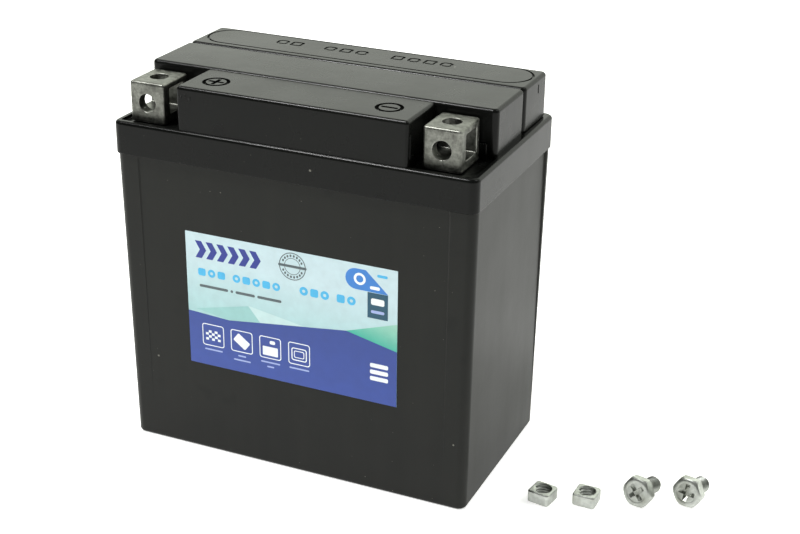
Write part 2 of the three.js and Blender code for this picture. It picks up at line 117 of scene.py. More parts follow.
# An upright box with rounded corners; top and bottom are its edge radii, draft its lean inwards going down
def column(spanX, spanY, spanZ, corner, top=0.0, bottom=0.0, steps=6, draft=0.0):
    (x0, x1), (y0, y1), (z0, z1) = spanX, spanY, spanZ
    cx, cy, halfX, halfY = (x0 + x1) / 2, (y0 + y1) / 2, (x1 - x0) / 2, (y1 - y0) / 2
    levels = []
    if bottom:
        levels += [(z0 + bottom * (1 - math.sin(a)), bottom * (1 - math.cos(a)))
                   for a in (math.radians(90 - 90 * k / steps) for k in range(steps + 1))]
    else:
        levels.append((z0, 0))
    if top:
        levels += [(z1 - top * (1 - math.sin(a)), top * (1 - math.cos(a)))
                   for a in (math.radians(90 * k / steps) for k in range(steps + 1))]
    else:
        levels.append((z1, 0))
    rings = []
    for z, inset in levels:
        lean = draft * (z1 - z) / (z1 - z0)
        radius = max(corner - inset, 0.12)
        ring = roundedRing(halfX - inset - lean, halfY - inset - lean, radius, steps)
        rings.append([(cx + px, cy + py, z) for px, py in ring])
    return loft("column", rings)


# The points of one circle about Z for each (radius, z) pair
def circles(pairs, centre, steps):
    cx, cy = centre
    return [(cx + r * math.cos(2 * math.pi * k / steps), cy + r * math.sin(2 * math.pi * k / steps), z)
            for r, z in pairs for k in range(steps)]


# A turned shape about Z from (radius, z) pairs, closed flat at both ends
def turned(profile, centre=(0, 0), steps=48):
    faces = ringFaces(len(profile), steps) + endFaces(len(profile), steps)
    return makeObject("turned", circles(profile, centre, steps), faces)


def rod(radius, z0, z1, centre, steps=48):
    return turned([(radius, z0), (radius, z1)], centre, steps)


# A flat ring
def hoop(outer, inner, z0, z1, centre, steps=64):
    walls = ((outer, z0), (outer, z1), (inner, z1), (inner, z0))
    return makeObject("hoop", circles(walls, centre, steps), ringFaces(4, steps, closed=True))


def reshape(thing, matrix):
    thing.data.transform(matrix)
    return thing


def fixFaces(thing, merge=1e-4):
    work = bmesh.new()
    work.from_mesh(thing.data)
    bmesh.ops.remove_doubles(work, verts=work.verts, dist=merge)
    bmesh.ops.dissolve_degenerate(work, dist=merge, edges=work.edges)
    bmesh.ops.recalc_face_normals(work, faces=work.faces)
    work.to_mesh(thing.data)
    work.free()
    return thing


def applyModifiers(thing):
    evaluated = thing.evaluated_get(bpy.context.evaluated_depsgraph_get())
    mesh = bpy.data.meshes.new_from_object(evaluated)
    thing.modifiers.clear()
    thing.data = mesh
    return thing


def combine(target, tools, operation):
    for tool in tools:
        fixFaces(tool)
        modifier = target.modifiers.new("combine", "BOOLEAN")
        modifier.operation = operation
        modifier.solver = "EXACT"
        modifier.object = tool
        applyModifiers(target)
        bpy.data.objects.remove(tool)
    return target


def cutOut(target, *tools):
    return combine(target, tools, "DIFFERENCE")


def joinOn(target, *tools):
    return combine(target, tools, "UNION")


# Runs a Geometry Nodes tree on a shape and keeps the plain mesh that comes out
def runTree(thing, tree, values):
    modifier = thing.modifiers.new("shape", "NODES")
    modifier.node_group = tree
    identifiers = {item.name: item.identifier for item in tree.interface.items_tree if item.in_out == "INPUT"}
    for name, value in values.items():
        modifier[identifiers[name]] = value
    return applyModifiers(thing)


def finishPiece(thing, name, finishes, body, nodes, angle=32, weighted=True):
    thing.name = name
    mesh = thing.data
    mesh.name = name
    numbers = [polygon.material_index for polygon in mesh.polygons]
    mesh.materials.clear()
    for finish in finishes:
        mesh.materials.append(finish)
    if len(finishes) > 1:       # clearing the slots set every face back to the first
        mesh.polygons.foreach_set("material_index", numbers)
    mesh.transform(Matrix.Scale(0.001, 4))
    mesh.shade_smooth()
    mesh.set_sharp_from_angle(angle=math.radians(angle))
    if weighted:
        modifier = thing.modifiers.new("normals", "WEIGHTED_NORMAL")
        modifier.keep_sharp = True
        applyModifiers(thing)
    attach(thing, body)
    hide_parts(*nodes)
    print("piece", name, len(thing.data.polygons), "faces")
    return thing


# Pattern sizes are millimetres on the real part; perMetre turns one into a noise scale.
def perMetre(size):
    return 1000 / size


def newMaterial(name):
    material = bpy.data.materials.new(name)
    material.use_nodes = True
    material.node_tree.nodes.clear()
    return material, material.node_tree


def closeMaterial(tree, shader):
    addNode(tree, "ShaderNodeOutputMaterial", links={"Surface": shader.outputs[0]})


# Colours of a ramp's two stops and where they stand
def setStops(ramp, darkAt, dark, lightAt, light):
    stops = ramp.color_ramp.elements
    stops[0].position = darkAt
    stops[0].color = hexColour(dark)
    stops[1].position = lightAt
    stops[1].color = hexColour(light)


noiseSpan = {"From Min": 0.3, "From Max": 0.7}      # most of a noise lies in here
plasticLook = {
    "dust": "#9a988d", "cloud": 26, "grain": 0.45, "streak": 9.0, "stretch": 0.06,
    # dust: cell in mm, speck size as a share of it, share of cells left clean, strength
    "specks": ((5.0, 0.028, 0.70, 0.9), (2.6, 0.045, 0.84, 0.45), (9.0, 0.045, 0.8, 0.6)),
    "smudge": 17, "smudgeFrom": 0.64, "smudgeTo": 0.74, "smudgeDark": 0.62,
    "darkAt": 0.3, "lightAt": 0.72, "waveDeep": 0.6, "grainDeep": 0.04,
}


# Black polypropylene, injection moulded: a dull sheen, flow streaks, soft smudges, fine grain, stray dust
def mouldedPlastic(name, dark, light, gloss, roughLow, roughHigh, streakAmount, grainStrength):
    material, tree = newMaterial(name)
    place = addNode(tree, "ShaderNodeTexCoord").outputs["Object"]
    cloud = addNode(tree, "ShaderNodeTexNoise", {"Scale": perMetre(plasticLook["cloud"]), "Detail": 4.0},
                    {"Vector": place})
    stretch = addNode(tree, "ShaderNodeMapping", {"Scale": (1, 1, plasticLook["stretch"])}, {"Vector": place})
    streak = addNode(tree, "ShaderNodeTexNoise", {"Scale": perMetre(plasticLook["streak"]), "Detail": 5.0},
                     {"Vector": stretch.outputs[0]})
    blend = addNode(tree, "ShaderNodeMix", {"data_type": "FLOAT", 0: streakAmount},
                    {2: cloud.outputs["Fac"], 3: streak.outputs["Fac"]})
    body = addNode(tree, "ShaderNodeValToRGB", links={"Fac": blend.outputs[0]})
    setStops(body, plasticLook["darkAt"], dark, plasticLook["lightAt"], light)
    patch = addNode(tree, "ShaderNodeTexNoise", {"Scale": perMetre(plasticLook["smudge"]), "Detail": 2.0},
                    {"Vector": place})
    shade = addNode(tree, "ShaderNodeMapRange",
                    {"From Min": plasticLook["smudgeFrom"], "From Max": plasticLook["smudgeTo"],
                     "To Min": 1.0, "To Max": plasticLook["smudgeDark"]}, {"Value": patch.outputs["Fac"]})
    colour = addNode(tree, "ShaderNodeHueSaturation",
                     links={"Color": body.outputs["Color"], "Value": shade.outputs[0]}).outputs[0]
    for cell, size, rarity, strength in plasticLook["specks"]:
        cells = addNode(tree, "ShaderNodeTexVoronoi", {"Scale": perMetre(cell)}, {"Vector": place})
        near = addNode(tree, "ShaderNodeMath", {"operation": "LESS_THAN", 1: size},
                       {0: cells.outputs["Distance"]})
        pick = addNode(tree, "ShaderNodeSeparateColor", links={"Color": cells.outputs["Color"]})
        some = addNode(tree, "ShaderNodeMath", {"operation": "GREATER_THAN", 1: rarity}, {0: pick.outputs[0]})
        speck = addNode(tree, "ShaderNodeMath", {"operation": "MULTIPLY"},
                        {0: near.outputs[0], 1: some.outputs[0]})
        faint = addNode(tree, "ShaderNodeMath", {"operation": "MULTIPLY", 1: strength}, {0: speck.outputs[0]})
        colour = addNode(tree, "ShaderNodeMix", {"data_type": "RGBA", 7: hexColour(plasticLook["dust"])},
                         {0: faint.outputs[0], 6: colour}).outputs[2]
    rough = addNode(tree, "ShaderNodeMapRange", {**noiseSpan, "To Min": roughLow, "To Max": roughHigh},
                    {"Value": blend.outputs[0]})
    grain = addNode(tree, "ShaderNodeTexNoise", {"Scale": perMetre(plasticLook["grain"]), "Detail": 2.0},
                    {"Vector": place})
    wave = addNode(tree, "ShaderNodeBump", {"Strength": 0.25, "Distance": plasticLook["waveDeep"] / 1000},
                   {"Height": cloud.outputs["Fac"]})
    bump = addNode(tree, "ShaderNodeBump",
                   {"Strength": grainStrength, "Distance": plasticLook["grainDeep"] / 1000},
                   {"Height": grain.outputs["Fac"], "Normal": wave.outputs[0]})
    shader = addNode(tree, "ShaderNodeBsdfPrincipled",
                     {"IOR": 1.49, "Metallic": 0.0, "Specular IOR Level": gloss},
                     {"Base Color": colour, "Roughness": rough.outputs[0], "Normal": bump.outputs[0]})
    closeMaterial(tree, shader)
    return material


metalLook = {
    "darkAt": 0.34, "lightAt": 0.64, "patchSize": 2.4, "patchFrom": 0.5, "patchTo": 0.72, "patchMost": 0.6,
    "wornFrom": 0.52, "wornTo": 0.6,
}


# A metal with blotches of two tones and a grain and, where given, tarnished patches and rubbed edges
def metal(name, dark, light, blotch, grain, roughLow, roughHigh, depth, worn, tarnish):
    material, tree = newMaterial(name)
    place = addNode(tree, "ShaderNodeTexCoord").outputs["Object"]
    wide = addNode(tree, "ShaderNodeTexNoise", {"Scale": perMetre(blotch), "Detail": 6.0, "Roughness": 0.62},
                   {"Vector": place})
    fine = addNode(tree, "ShaderNodeTexNoise", {"Scale": perMetre(grain), "Detail": 3.0}, {"Vector": place})
    tone = addNode(tree, "ShaderNodeValToRGB", links={"Fac": wide.outputs["Fac"]})
    setStops(tone, metalLook["darkAt"], dark, metalLook["lightAt"], light)
    colour = tone.outputs["Color"]
    if tarnish:
        patchScale = perMetre(blotch * metalLook["patchSize"])
        patch = addNode(tree, "ShaderNodeTexNoise", {"Scale": patchScale, "Detail": 3.0}, {"Vector": place})
        spread = addNode(tree, "ShaderNodeMapRange",
                         {"From Min": metalLook["patchFrom"], "From Max": metalLook["patchTo"],
                          "To Min": 0.0, "To Max": metalLook["patchMost"]}, {"Value": patch.outputs["Fac"]})
        colour = addNode(tree, "ShaderNodeMix", {"data_type": "RGBA", 7: hexColour(tarnish)},
                         {0: spread.outputs[0], 6: colour}).outputs[2]
    if worn:
        edge = addNode(tree, "ShaderNodeNewGeometry")
        rubbed = addNode(tree, "ShaderNodeMapRange",
                         {"From Min": metalLook["wornFrom"], "From Max": metalLook["wornTo"]},
                         {"Value": edge.outputs["Pointiness"]})
        colour = addNode(tree, "ShaderNodeMix", {"data_type": "RGBA", 7: hexColour(worn)},
                         {0: rubbed.outputs[0], 6: colour}).outputs[2]
    rough = addNode(tree, "ShaderNodeMapRange", {**noiseSpan, "To Min": roughLow, "To Max": roughHigh},
                    {"Value": wide.outputs["Fac"]})
    low = addNode(tree, "ShaderNodeBump", {"Strength": 0.5, "Distance": depth / 1000},
                  {"Height": wide.outputs["Fac"]})
    high = addNode(tree, "ShaderNodeBump", {"Strength": 0.4, "Distance": depth / 4000},
                   {"Height": fine.outputs["Fac"], "Normal": low.outputs[0]})
    shader = addNode(tree, "ShaderNodeBsdfPrincipled", {"Metallic": 1.0},
                     {"Base Color": colour, "Roughness": rough.outputs[0], "Normal": high.outputs[0]})
    closeMaterial(tree, shader)
    return material


filmLook = {
    "mottle": 3.5, "darkest": 0.94, "lightest": 1.04, "ripple": 14, "rippleDeep": 0.3,
    "roughLow": 0.3, "roughHigh": 0.4,
}


# Printed polypropylene label film under a gloss laminate: even ink, a faint ripple and a soft shine.
# span: the heights in mm where the ink starts to fade and where it ends, and the lean of the fade
def printedFilm(name, ink, deeper, span):
    material, tree = newMaterial(name)
    place = addNode(tree, "ShaderNodeTexCoord").outputs["Object"]
    mottle = addNode(tree, "ShaderNodeTexNoise", {"Scale": perMetre(filmLook["mottle"]), "Detail": 4.0},
                     {"Vector": place})
    if deeper:
        height = addNode(tree, "ShaderNodeSeparateXYZ", links={0: place})
        across = addNode(tree, "ShaderNodeMath", {"operation": "MULTIPLY_ADD", 1: span[2]},
                         {0: height.outputs[0], 2: height.outputs[2]})
        fade = addNode(tree, "ShaderNodeMapRange", {"From Min": span[0] / 1000, "From Max": span[1] / 1000},
                       {"Value": across.outputs[0]})
        base = addNode(tree, "ShaderNodeMix", {"data_type": "RGBA", 6: hexColour(ink), 7: hexColour(deeper)},
                       {0: fade.outputs[0]}).outputs[2]
    shift = addNode(tree, "ShaderNodeMapRange",
                    {"From Min": 0.25, "From Max": 0.75, "To Min": filmLook["darkest"],
                     "To Max": filmLook["lightest"]}, {"Value": mottle.outputs["Fac"]})
    colour = addNode(tree, "ShaderNodeHueSaturation", {"Color": hexColour(ink)}, {"Value": shift.outputs[0]})
    if deeper:
        tree.links.new(base, colour.inputs["Color"])
    ripple = addNode(tree, "ShaderNodeTexNoise", {"Scale": perMetre(filmLook["ripple"]), "Detail": 2.0},
                     {"Vector": place})
    bump = addNode(tree, "ShaderNodeBump", {"Strength": 0.2, "Distance": filmLook["rippleDeep"] / 1000},
                   {"Height": ripple.outputs["Fac"]})
    rough = addNode(tree, "ShaderNodeMapRange",
                    {**noiseSpan, "To Min": filmLook["roughLow"], "To Max": filmLook["roughHigh"]},
                    {"Value": mottle.outputs["Fac"]})
    shader = addNode(tree, "ShaderNodeBsdfPrincipled", {"IOR": 1.49},
                     {"Base Color": colour.outputs[0], "Roughness": rough.outputs[0],
                      "Normal": bump.outputs[0]})
    closeMaterial(tree, shader)
    return material


solidLook = {"darkAt": 0.32, "lightAt": 0.68, "gridTurn": 0.6}


# A dull filled or pressed stuff in two tones with its own grain; mesh adds a pressed grid of that pitch
def dullSolid(name, dark, light, grain, roughness, depth, ior, mesh=None):
    material, tree = newMaterial(name)
    place = addNode(tree, "ShaderNodeTexCoord").outputs["Object"]
    noise = addNode(tree, "ShaderNodeTexNoise", {"Scale": perMetre(grain), "Detail": 6.0, "Roughness": 0.6},
                    {"Vector": place})
    tone = addNode(tree, "ShaderNodeValToRGB", links={"Fac": noise.outputs["Fac"]})
    setStops(tone, solidLook["darkAt"], dark, solidLook["lightAt"], light)
    height = noise.outputs["Fac"]
    if mesh:
        lines = []
        for turn in (solidLook["gridTurn"], -solidLook["gridTurn"]):
            swing = addNode(tree, "ShaderNodeMapping", {"Rotation": (turn, 0, 0)}, {"Vector": place})
            bands = {"bands_direction": "Z", "Scale": perMetre(mesh) / (2 * math.pi), "Distortion": 0.6}
            lines.append(addNode(tree, "ShaderNodeTexWave", bands, {"Vector": swing.outputs[0]}))
        grid = addNode(tree, "ShaderNodeMath", {"operation": "MAXIMUM"},
                       {0: lines[0].outputs["Fac"], 1: lines[1].outputs["Fac"]})
        both = addNode(tree, "ShaderNodeMath", {"operation": "ADD"}, {0: height, 1: grid.outputs[0]})
        height = both.outputs[0]
    bump = addNode(tree, "ShaderNodeBump", {"Strength": 0.6, "Distance": depth / 1000}, {"Height": height})
    shader = addNode(tree, "ShaderNodeBsdfPrincipled", {"IOR": ior, "Roughness": roughness},
                     {"Base Color": tone.outputs["Color"], "Normal": bump.outputs[0]})
    closeMaterial(tree, shader)
    return material


# Case, drawn long in the mould: a satin sheen with upright flow streaks
casePlastic = mouldedPlastic("mouldedPolypropyleneCase", "#161714", "#21221e", 0.26, 0.36, 0.44, 0.5, 0.25)
# Lid, flatter moulding: deeper black and a touch glossier, so its rounded edges catch a thin light line
lidPlastic = mouldedPlastic("mouldedPolypropyleneLid", "#0f100f", "#181917", 0.19, 0.22, 0.32, 0.2, 0.25)
# Lead alloy, gravity cast: dull grey with bright rubbed edges, blotches and pits
castLead = metal("castLeadAlloy", "#62635e", "#90918b", 1.6, 0.35, 0.36, 0.52, 0.09, "#d6d7d0", "#42423e")
# Steel, bright zinc plated and passivated: pale satin with a faint warm and cool cloud
zincPlate = metal("zincPlatedSteel", "#a6a9a4", "#c8cbc6", 3.0, 0.3, 0.38, 0.52, 0.03, None, "#85877c")
rubber = dullSolid("nitrileRubber", "#101110", "#1c1d1c", 0.6, 0.62, 0.03, 1.52)
potting = dullSolid("castEpoxyPotting", "#2b211a", "#3a2c22", 4.0, 0.28, 0.05, 1.55)
positivePaste = dullSolid("leadDioxidePaste", "#3a241a", "#59392a", 0.9, 0.85, 0.12, 1.6, 5)
negativePaste = dullSolid("spongeLeadPaste", "#66696b", "#8b8e90", 0.9, 0.75, 0.12, 1.6, 5)
glassMat = dullSolid("glassFibreMat", "#d6d6cf", "#f0f0ea", 0.5, 0.95, 0.15, 1.5)
print("materials made")


# The case: one tapered box with six cells, sunk panels in its walls and holes for the cell links
case = {
    "corner": 3.2, "draft": 1.1, "foot": 1.3,
    "wallX": 3.2, "wallY": 3.1, "floor": 3.0, "partition": 1.6, "cells": 6,
    "panelInset": 9.2, "panelInsetSide": 4.6, "panelLow": -6.0, "panelHigh": 112.3, "panelCorner": 2.8,
    "panelDepth": 0.4, "panelDepthSide": 0.75, "panelSlope": 0.6, "panelEnd": 12.0,
    "spigotX": 65.5, "spigotY": 35.2, "spigotCorner": 1.6, "spigotEdge": 0.3, "lidGap": 0.3,
    "cellCorner": 1, "cellFoot": 0.8, "linkGap": 0.3,
}
caseHigh = nodeBox("battery_case")[1]
lidLow, lidHigh = nodeBox("battery_lid")
shellTop = lidLow[2] - case["lidGap"]
caseHalfX, caseHalfY = caseHigh[0], caseHigh[1]


def wallOffset(z):
    return case["draft"] * (shellTop - z) / shellTop


# The panels are deepest under the rim and run out towards the foot
def panelDepthAt(z, deepest):
    return deepest * (z - case["panelEnd"]) / (case["panelHigh"] - case["panelEnd"])


# Cutter for a shallow wall panel that follows the leaning wall
def panelTool(side, halfLength, wall, deepest):
    rings = []
    middle = (case["panelLow"] + case["panelHigh"]) / 2
    halfHigh = (case["panelHigh"] - case["panelLow"]) / 2
    for above, grow in ((2.0, case["panelSlope"]), (deepest, case["panelSlope"]), (0.0, 0.0)):
        ring = []
        for u, v in roundedRing(halfLength + grow, halfHigh + grow, case["panelCorner"] + grow, 6):
            z = middle + v
            ring.append((u, -(wall - wallOffset(z) - panelDepthAt(z, deepest) + above), z))
        rings.append(ring)
    return reshape(loft("panel", rings), Matrix.Rotation(math.radians(side), 4, "Z"))


linkBoxes = [nodeBox(f"cell_link_{i}") for i in range(1, case["cells"])]
shell = column((-caseHalfX, caseHalfX), (-caseHalfY, caseHalfY), (0, shellTop), case["corner"],
               bottom=case["foot"], steps=8, draft=case["draft"])
joinOn(shell, column((-case["spigotX"], case["spigotX"]), (-case["spigotY"], case["spigotY"]),
                     (shellTop - 1, caseHigh[2]), case["spigotCorner"], top=case["spigotEdge"]))
wide = (caseHalfX - case["panelInset"], caseHalfY, case["panelDepth"])
narrow = (caseHalfY - case["panelInsetSide"], caseHalfX, case["panelDepthSide"])
for side, (half, wall, deepest) in ((0, wide), (180, wide), (90, narrow), (270, narrow)):
    cutOut(shell, panelTool(side, half, wall, deepest))
insideX, insideY = caseHalfX - case["wallX"], caseHalfY - case["wallY"]
cellWidth = (2 * insideX - (case["cells"] - 1) * case["partition"]) / case["cells"]
cellStarts = [-insideX + i * (cellWidth + case["partition"]) for i in range(case["cells"])]
for start in cellStarts:
    cutOut(shell, column((start, start + cellWidth), (-insideY, insideY), (case["floor"], caseHigh[2] + 1),
                         case["cellCorner"], bottom=case["cellFoot"]))
for low, high in linkBoxes:
    middle = [(a + b) / 2 for a, b in zip(low, high)]
    hole = rod((high[2] - low[2]) / 2 + case["linkGap"], -2, 2, (0, 0), 24)
    turnAndPlace = Matrix.Translation(Vector(middle)) @ Matrix.Rotation(math.radians(90), 4, "Y")
    cutOut(shell, reshape(hole, turnAndPlace))
fixFaces(shell)
finishPiece(shell, "caseShell", [casePlastic], "battery", ["battery_case"])


# The lid: rim band, two terminal wells, the raised block and its nose, valve necks and post bosses
lid = {
    "corner": 3.2, "rimEdge": 1.3, "rimFoot": 0.3, "deck": 123.0, "wellFloor": 121.7, "lip": 2.2,
    "blockX": 65.0, "blockFront": -14.4, "blockBack": 11.2, "noseLeft": -42.1, "noseRight": 43.1,
    "noseFront": -36.3, "noseStep": 0.5, "noseCorner": 1.2, "blockCorner": 2.0, "topEdge": 1.3,
    "wall": 2.4, "under": 119.2, "wellCorner": 0.8, "wellFoot": 0.5, "hollowCorner": 0.8,
    "skirtX": 1.7, "skirtY": 2, "skirtCorner": 1.6, "skirtEdge": 0.4,
    "neck": 4.5, "neckBore": 2.3, "neckTop": 129.2, "neckEdge": 0.4, "valveRow": 23.03,
    "boss": 7.6, "bossDown": 8.0, "postGap": 0.3, "sealRecess": 6.2, "sealTop": 118.0,
    "markRing": 4.8, "markStroke": 1.3, "markDepth": 1.0, "markArm": 2.9, "markCorner": 0.15,
    "marks": ((-32.1, -26.2, True), (31.7, -25.5, False)),      # middle of each, and whether it is a plus
    "rests": ((-64.6, -48.6), (45.8, 61.8)), "restProud": 0.9, "restHigh": 4.4,
    "ribs": (((-35.0, -34.2), (125.4, 133.4)), ((-35.0, -31.6), (125.4, 126.2))), "ribProud": 0.3,
    "bumps": (((-41.0, -39.6), (134.0, 135.2)), ((-38.8, -37.9), (134.6, 135.8)),
              ((-37.2, -36.2), (134.1, 135.4))), "bumpProud": 0.12,
}
deck, top = lid["deck"], lidHigh[2]
cover = column((lidLow[0], lidHigh[0]), (lidLow[1], lidHigh[1]), (lidLow[2], deck), lid["corner"],
               top=lid["rimEdge"], bottom=lid["rimFoot"], steps=8)
blockTop = column((-lid["blockX"], lid["blockX"]), (lid["blockFront"], lid["blockBack"]), (deck - 1, top),
                  lid["blockCorner"], top=lid["topEdge"], steps=8)
nose = column((lid["noseLeft"], lid["noseRight"]), (lid["noseFront"], lid["blockFront"] + 4),
              (deck - 1, top - lid["noseStep"]), lid["noseCorner"], top=lid["topEdge"], steps=8)
joinOn(cover, blockTop, nose)
wellBack = lid["blockFront"] - 0.01
for x0, x1 in ((lidLow[0] + lid["lip"], lid["noseLeft"]), (lid["noseRight"], lidHigh[0] - lid["lip"])):
    cutOut(cover, column((x0, x1), (lidLow[1] + lid["lip"], wellBack), (lid["wellFloor"], deck + 1),
                         lid["wellCorner"], bottom=lid["wellFoot"]))
cutOut(cover, column((lidLow[0] + lid["skirtX"], lidHigh[0] - lid["skirtX"]),
                     (lidLow[1] + lid["skirtY"], lidHigh[1] - lid["skirtY"]),
                     (lidLow[2] - 1, lid["under"]), lid["skirtCorner"], top=lid["skirtEdge"]))
ceiling = top - lid["wall"] - lid["noseStep"]
for i, start in enumerate(cellStarts):
    x0, x1 = max(start, -lid["blockX"] + lid["wall"]), min(start + cellWidth, lid["blockX"] - lid["wall"])
    y0, y1 = lid["blockFront"] + lid["wall"], lid["blockBack"] - lid["wall"]
    cutOut(cover, column((x0, x1), (y0, y1), (lid["under"] - 1, ceiling), lid["hollowCorner"],
                         top=lid["hollowCorner"]))
    if 0 < i < case["cells"] - 1:
        n0, n1 = max(x0, lid["noseLeft"] + lid["wall"]), min(x1, lid["noseRight"] - lid["wall"])
        cutOut(cover, column((n0, n1), (lid["noseFront"] + lid["wall"], y0 + 1), (lid["under"] - 1, ceiling),
                             lid["hollowCorner"], top=lid["hollowCorner"]))
for start in cellStarts:
    spot = (start + cellWidth / 2, lid["valveRow"])
    joinOn(cover, turned([(lid["neck"], deck - 1), (lid["neck"], lid["neckTop"] - lid["neckEdge"]),
                          (lid["neck"] - lid["neckEdge"], lid["neckTop"])], spot))
    cutOut(cover, rod(lid["neckBore"], lid["under"] - 1, lid["neckTop"] + 1, spot, 32))
for node in ("post_positive", "post_negative"):
    low, high = nodeBox(node)
    spot = ((low[0] + high[0]) / 2, (low[1] + high[1]) / 2)
    bossFoot = lid["under"] - lid["bossDown"]
    joinOn(cover, rod(lid["boss"], bossFoot, lid["under"] + 1, spot))
    cutOut(cover, rod((high[0] - low[0]) / 2 + lid["postGap"], bossFoot - 1, deck + 1, spot),
           rod(lid["sealRecess"], bossFoot - 1, lid["sealTop"], spot))

# Rests behind the terminals, ribs on the nose's right wall and a small mould mark on its front
for spanX in lid["rests"]:
    joinOn(cover, column(spanX, (lid["blockFront"] - lid["restProud"], lid["blockFront"] + 0.5),
                         (deck - 1.5, deck + lid["restHigh"]), 0.3, top=0.3))
for spanY, spanZ in lid["ribs"]:
    joinOn(cover, column((lid["noseRight"] - 0.5, lid["noseRight"] + lid["ribProud"]), spanY, spanZ, 0.12,
                         top=0.2, bottom=0.2))
for spanX, spanZ in lid["bumps"]:
    joinOn(cover, column(spanX, (lid["noseFront"] - lid["bumpProud"], lid["noseFront"] + 0.4), spanZ, 0.2,
                         top=0.12, bottom=0.12))

# Polarity marks sunk in the nose's top
markTop = top - lid["noseStep"]
arm, half = lid["markArm"], lid["markStroke"] / 2
sunk = (markTop - lid["markDepth"], markTop + 1)
for x, y, upright in lid["marks"]:
    cutOut(cover, hoop(lid["markRing"], lid["markRing"] - lid["markStroke"], *sunk, (x, y)))
    cutOut(cover, column((x - arm, x + arm), (y - half, y + half), sunk, lid["markCorner"]))
    if upright:
        cutOut(cover, column((x - half, x + half), (y - arm, y + arm), sunk, lid["markCorner"]))
fixFaces(cover)
finishPiece(cover, "lidShell", [lidPlastic], "battery", ["battery_lid"])


# The cap strip: a rail that covers the valves, with pins over them and shallow marks in its top
strip = {
    "corner": 2.0, "edge": 1.3, "wall": 2.2, "top": 3.0, "hollowCorner": 0.6, "hollowEdge": 0.8,
    "pin": 2.4, "pinEnd": 132.6, "pinEdge": 0.3,
    "lineX": 63.4, "lineY": (14.6, 33.2), "line": 0.8, "lineDepth": 0.6,
    "dashRow": 25.8, "dashHigh": 4.6, "dashStroke": 0.9, "dashDepth": 0.3,
    "dashes": (-34.0, -28.2, -14.6, -8.4, -2.2, 12.0, 18.2, 24.4, 30.6), "dashLong": 4.6,
    "dashCorners": (1.75, 0.9),     # rounder and squarer outlines take turns
    "notchY": 25.4, "notchZ": (133.4, 136.6), "notchWide": 0.9, "notchDepth": 0.5,
}
stripLow, stripHigh = nodeBox("cap_strip")
rail = column((stripLow[0], stripHigh[0]), (stripLow[1], stripHigh[1]), (stripLow[2], stripHigh[2]),
              strip["corner"], top=strip["edge"], bottom=0.2, steps=8)
wall = strip["wall"]
cutOut(rail, column((stripLow[0] + wall, stripHigh[0] - wall), (stripLow[1] + wall, stripHigh[1] - wall),
                    (stripLow[2] - 1, stripHigh[2] - strip["top"]), strip["hollowCorner"],
                    top=strip["hollowEdge"]))
for start in cellStarts:
    spot = (start + cellWidth / 2, lid["valveRow"])
    joinOn(rail, turned([(strip["pin"] - strip["pinEdge"], strip["pinEnd"]),
                         (strip["pin"], strip["pinEnd"] + strip["pinEdge"]),
                         (strip["pin"], stripHigh[2] - strip["top"] + 0.5)], spot))


# Cutter for a rounded outline of even stroke
def outlineTool(halfX, halfY, corner, stroke, floor, ceilingZ, centre):
    cx, cy = centre
    outer = roundedRing(halfX, halfY, corner, 10)
    inner = roundedRing(halfX - stroke, halfY - stroke, corner - stroke, 10)
    walls = ((outer, floor), (outer, ceilingZ), (inner, ceilingZ), (inner, floor))
    verts = [(cx + x, cy + y, z) for ring, z in walls for x, y in ring]
    return makeObject("outline", verts, ringFaces(4, len(outer), closed=True))


lineHalf = (strip["lineY"][1] - strip["lineY"][0]) / 2
lineMiddle = (strip["lineY"][1] + strip["lineY"][0]) / 2
cutOut(rail, outlineTool(strip["lineX"], lineHalf, lineHalf - 0.05, strip["line"],
                         stripHigh[2] - strip["lineDepth"], stripHigh[2] + 1, (0, lineMiddle)))
for k, x in enumerate(strip["dashes"]):
    cutOut(rail, outlineTool(strip["dashLong"] / 2, strip["dashHigh"] / 2, strip["dashCorners"][k % 2],
                             strip["dashStroke"], stripHigh[2] - strip["dashDepth"], stripHigh[2] + 1,
                             (x, strip["dashRow"])))
cutOut(rail, column((stripHigh[0] - strip["notchDepth"], stripHigh[0] + 1),
                    (strip["notchY"] - strip["notchWide"] / 2, strip["notchY"] + strip["notchWide"] / 2),
                    strip["notchZ"], 0.12, top=0.3, bottom=0.3))
fixFaces(rail)
finishPiece(rail, "capStripShell", [lidPlastic], "cap_strip", ["cap_strip"])


# The terminals: hollow cast blocks with a nut tunnel and two bolt holes each
terminal = {
    "corner": 1.1, "edge": 0.9, "front": 4.0, "back": 3.3, "floor": 3.3, "roof": 2.3,
    "hole": 3.25, "holeRise": 6.95, "inset": 0.12, "voxel": 0.2, "rough": 0.09,
    "seam": 1.0, "seamInset": 0.01, "seamFoot": 0.2, "seamEdge": 0.15,
    "lumps": ((3.2, 1.0), (0.9, 0.45)),     # size in mm and share of the roughness
}


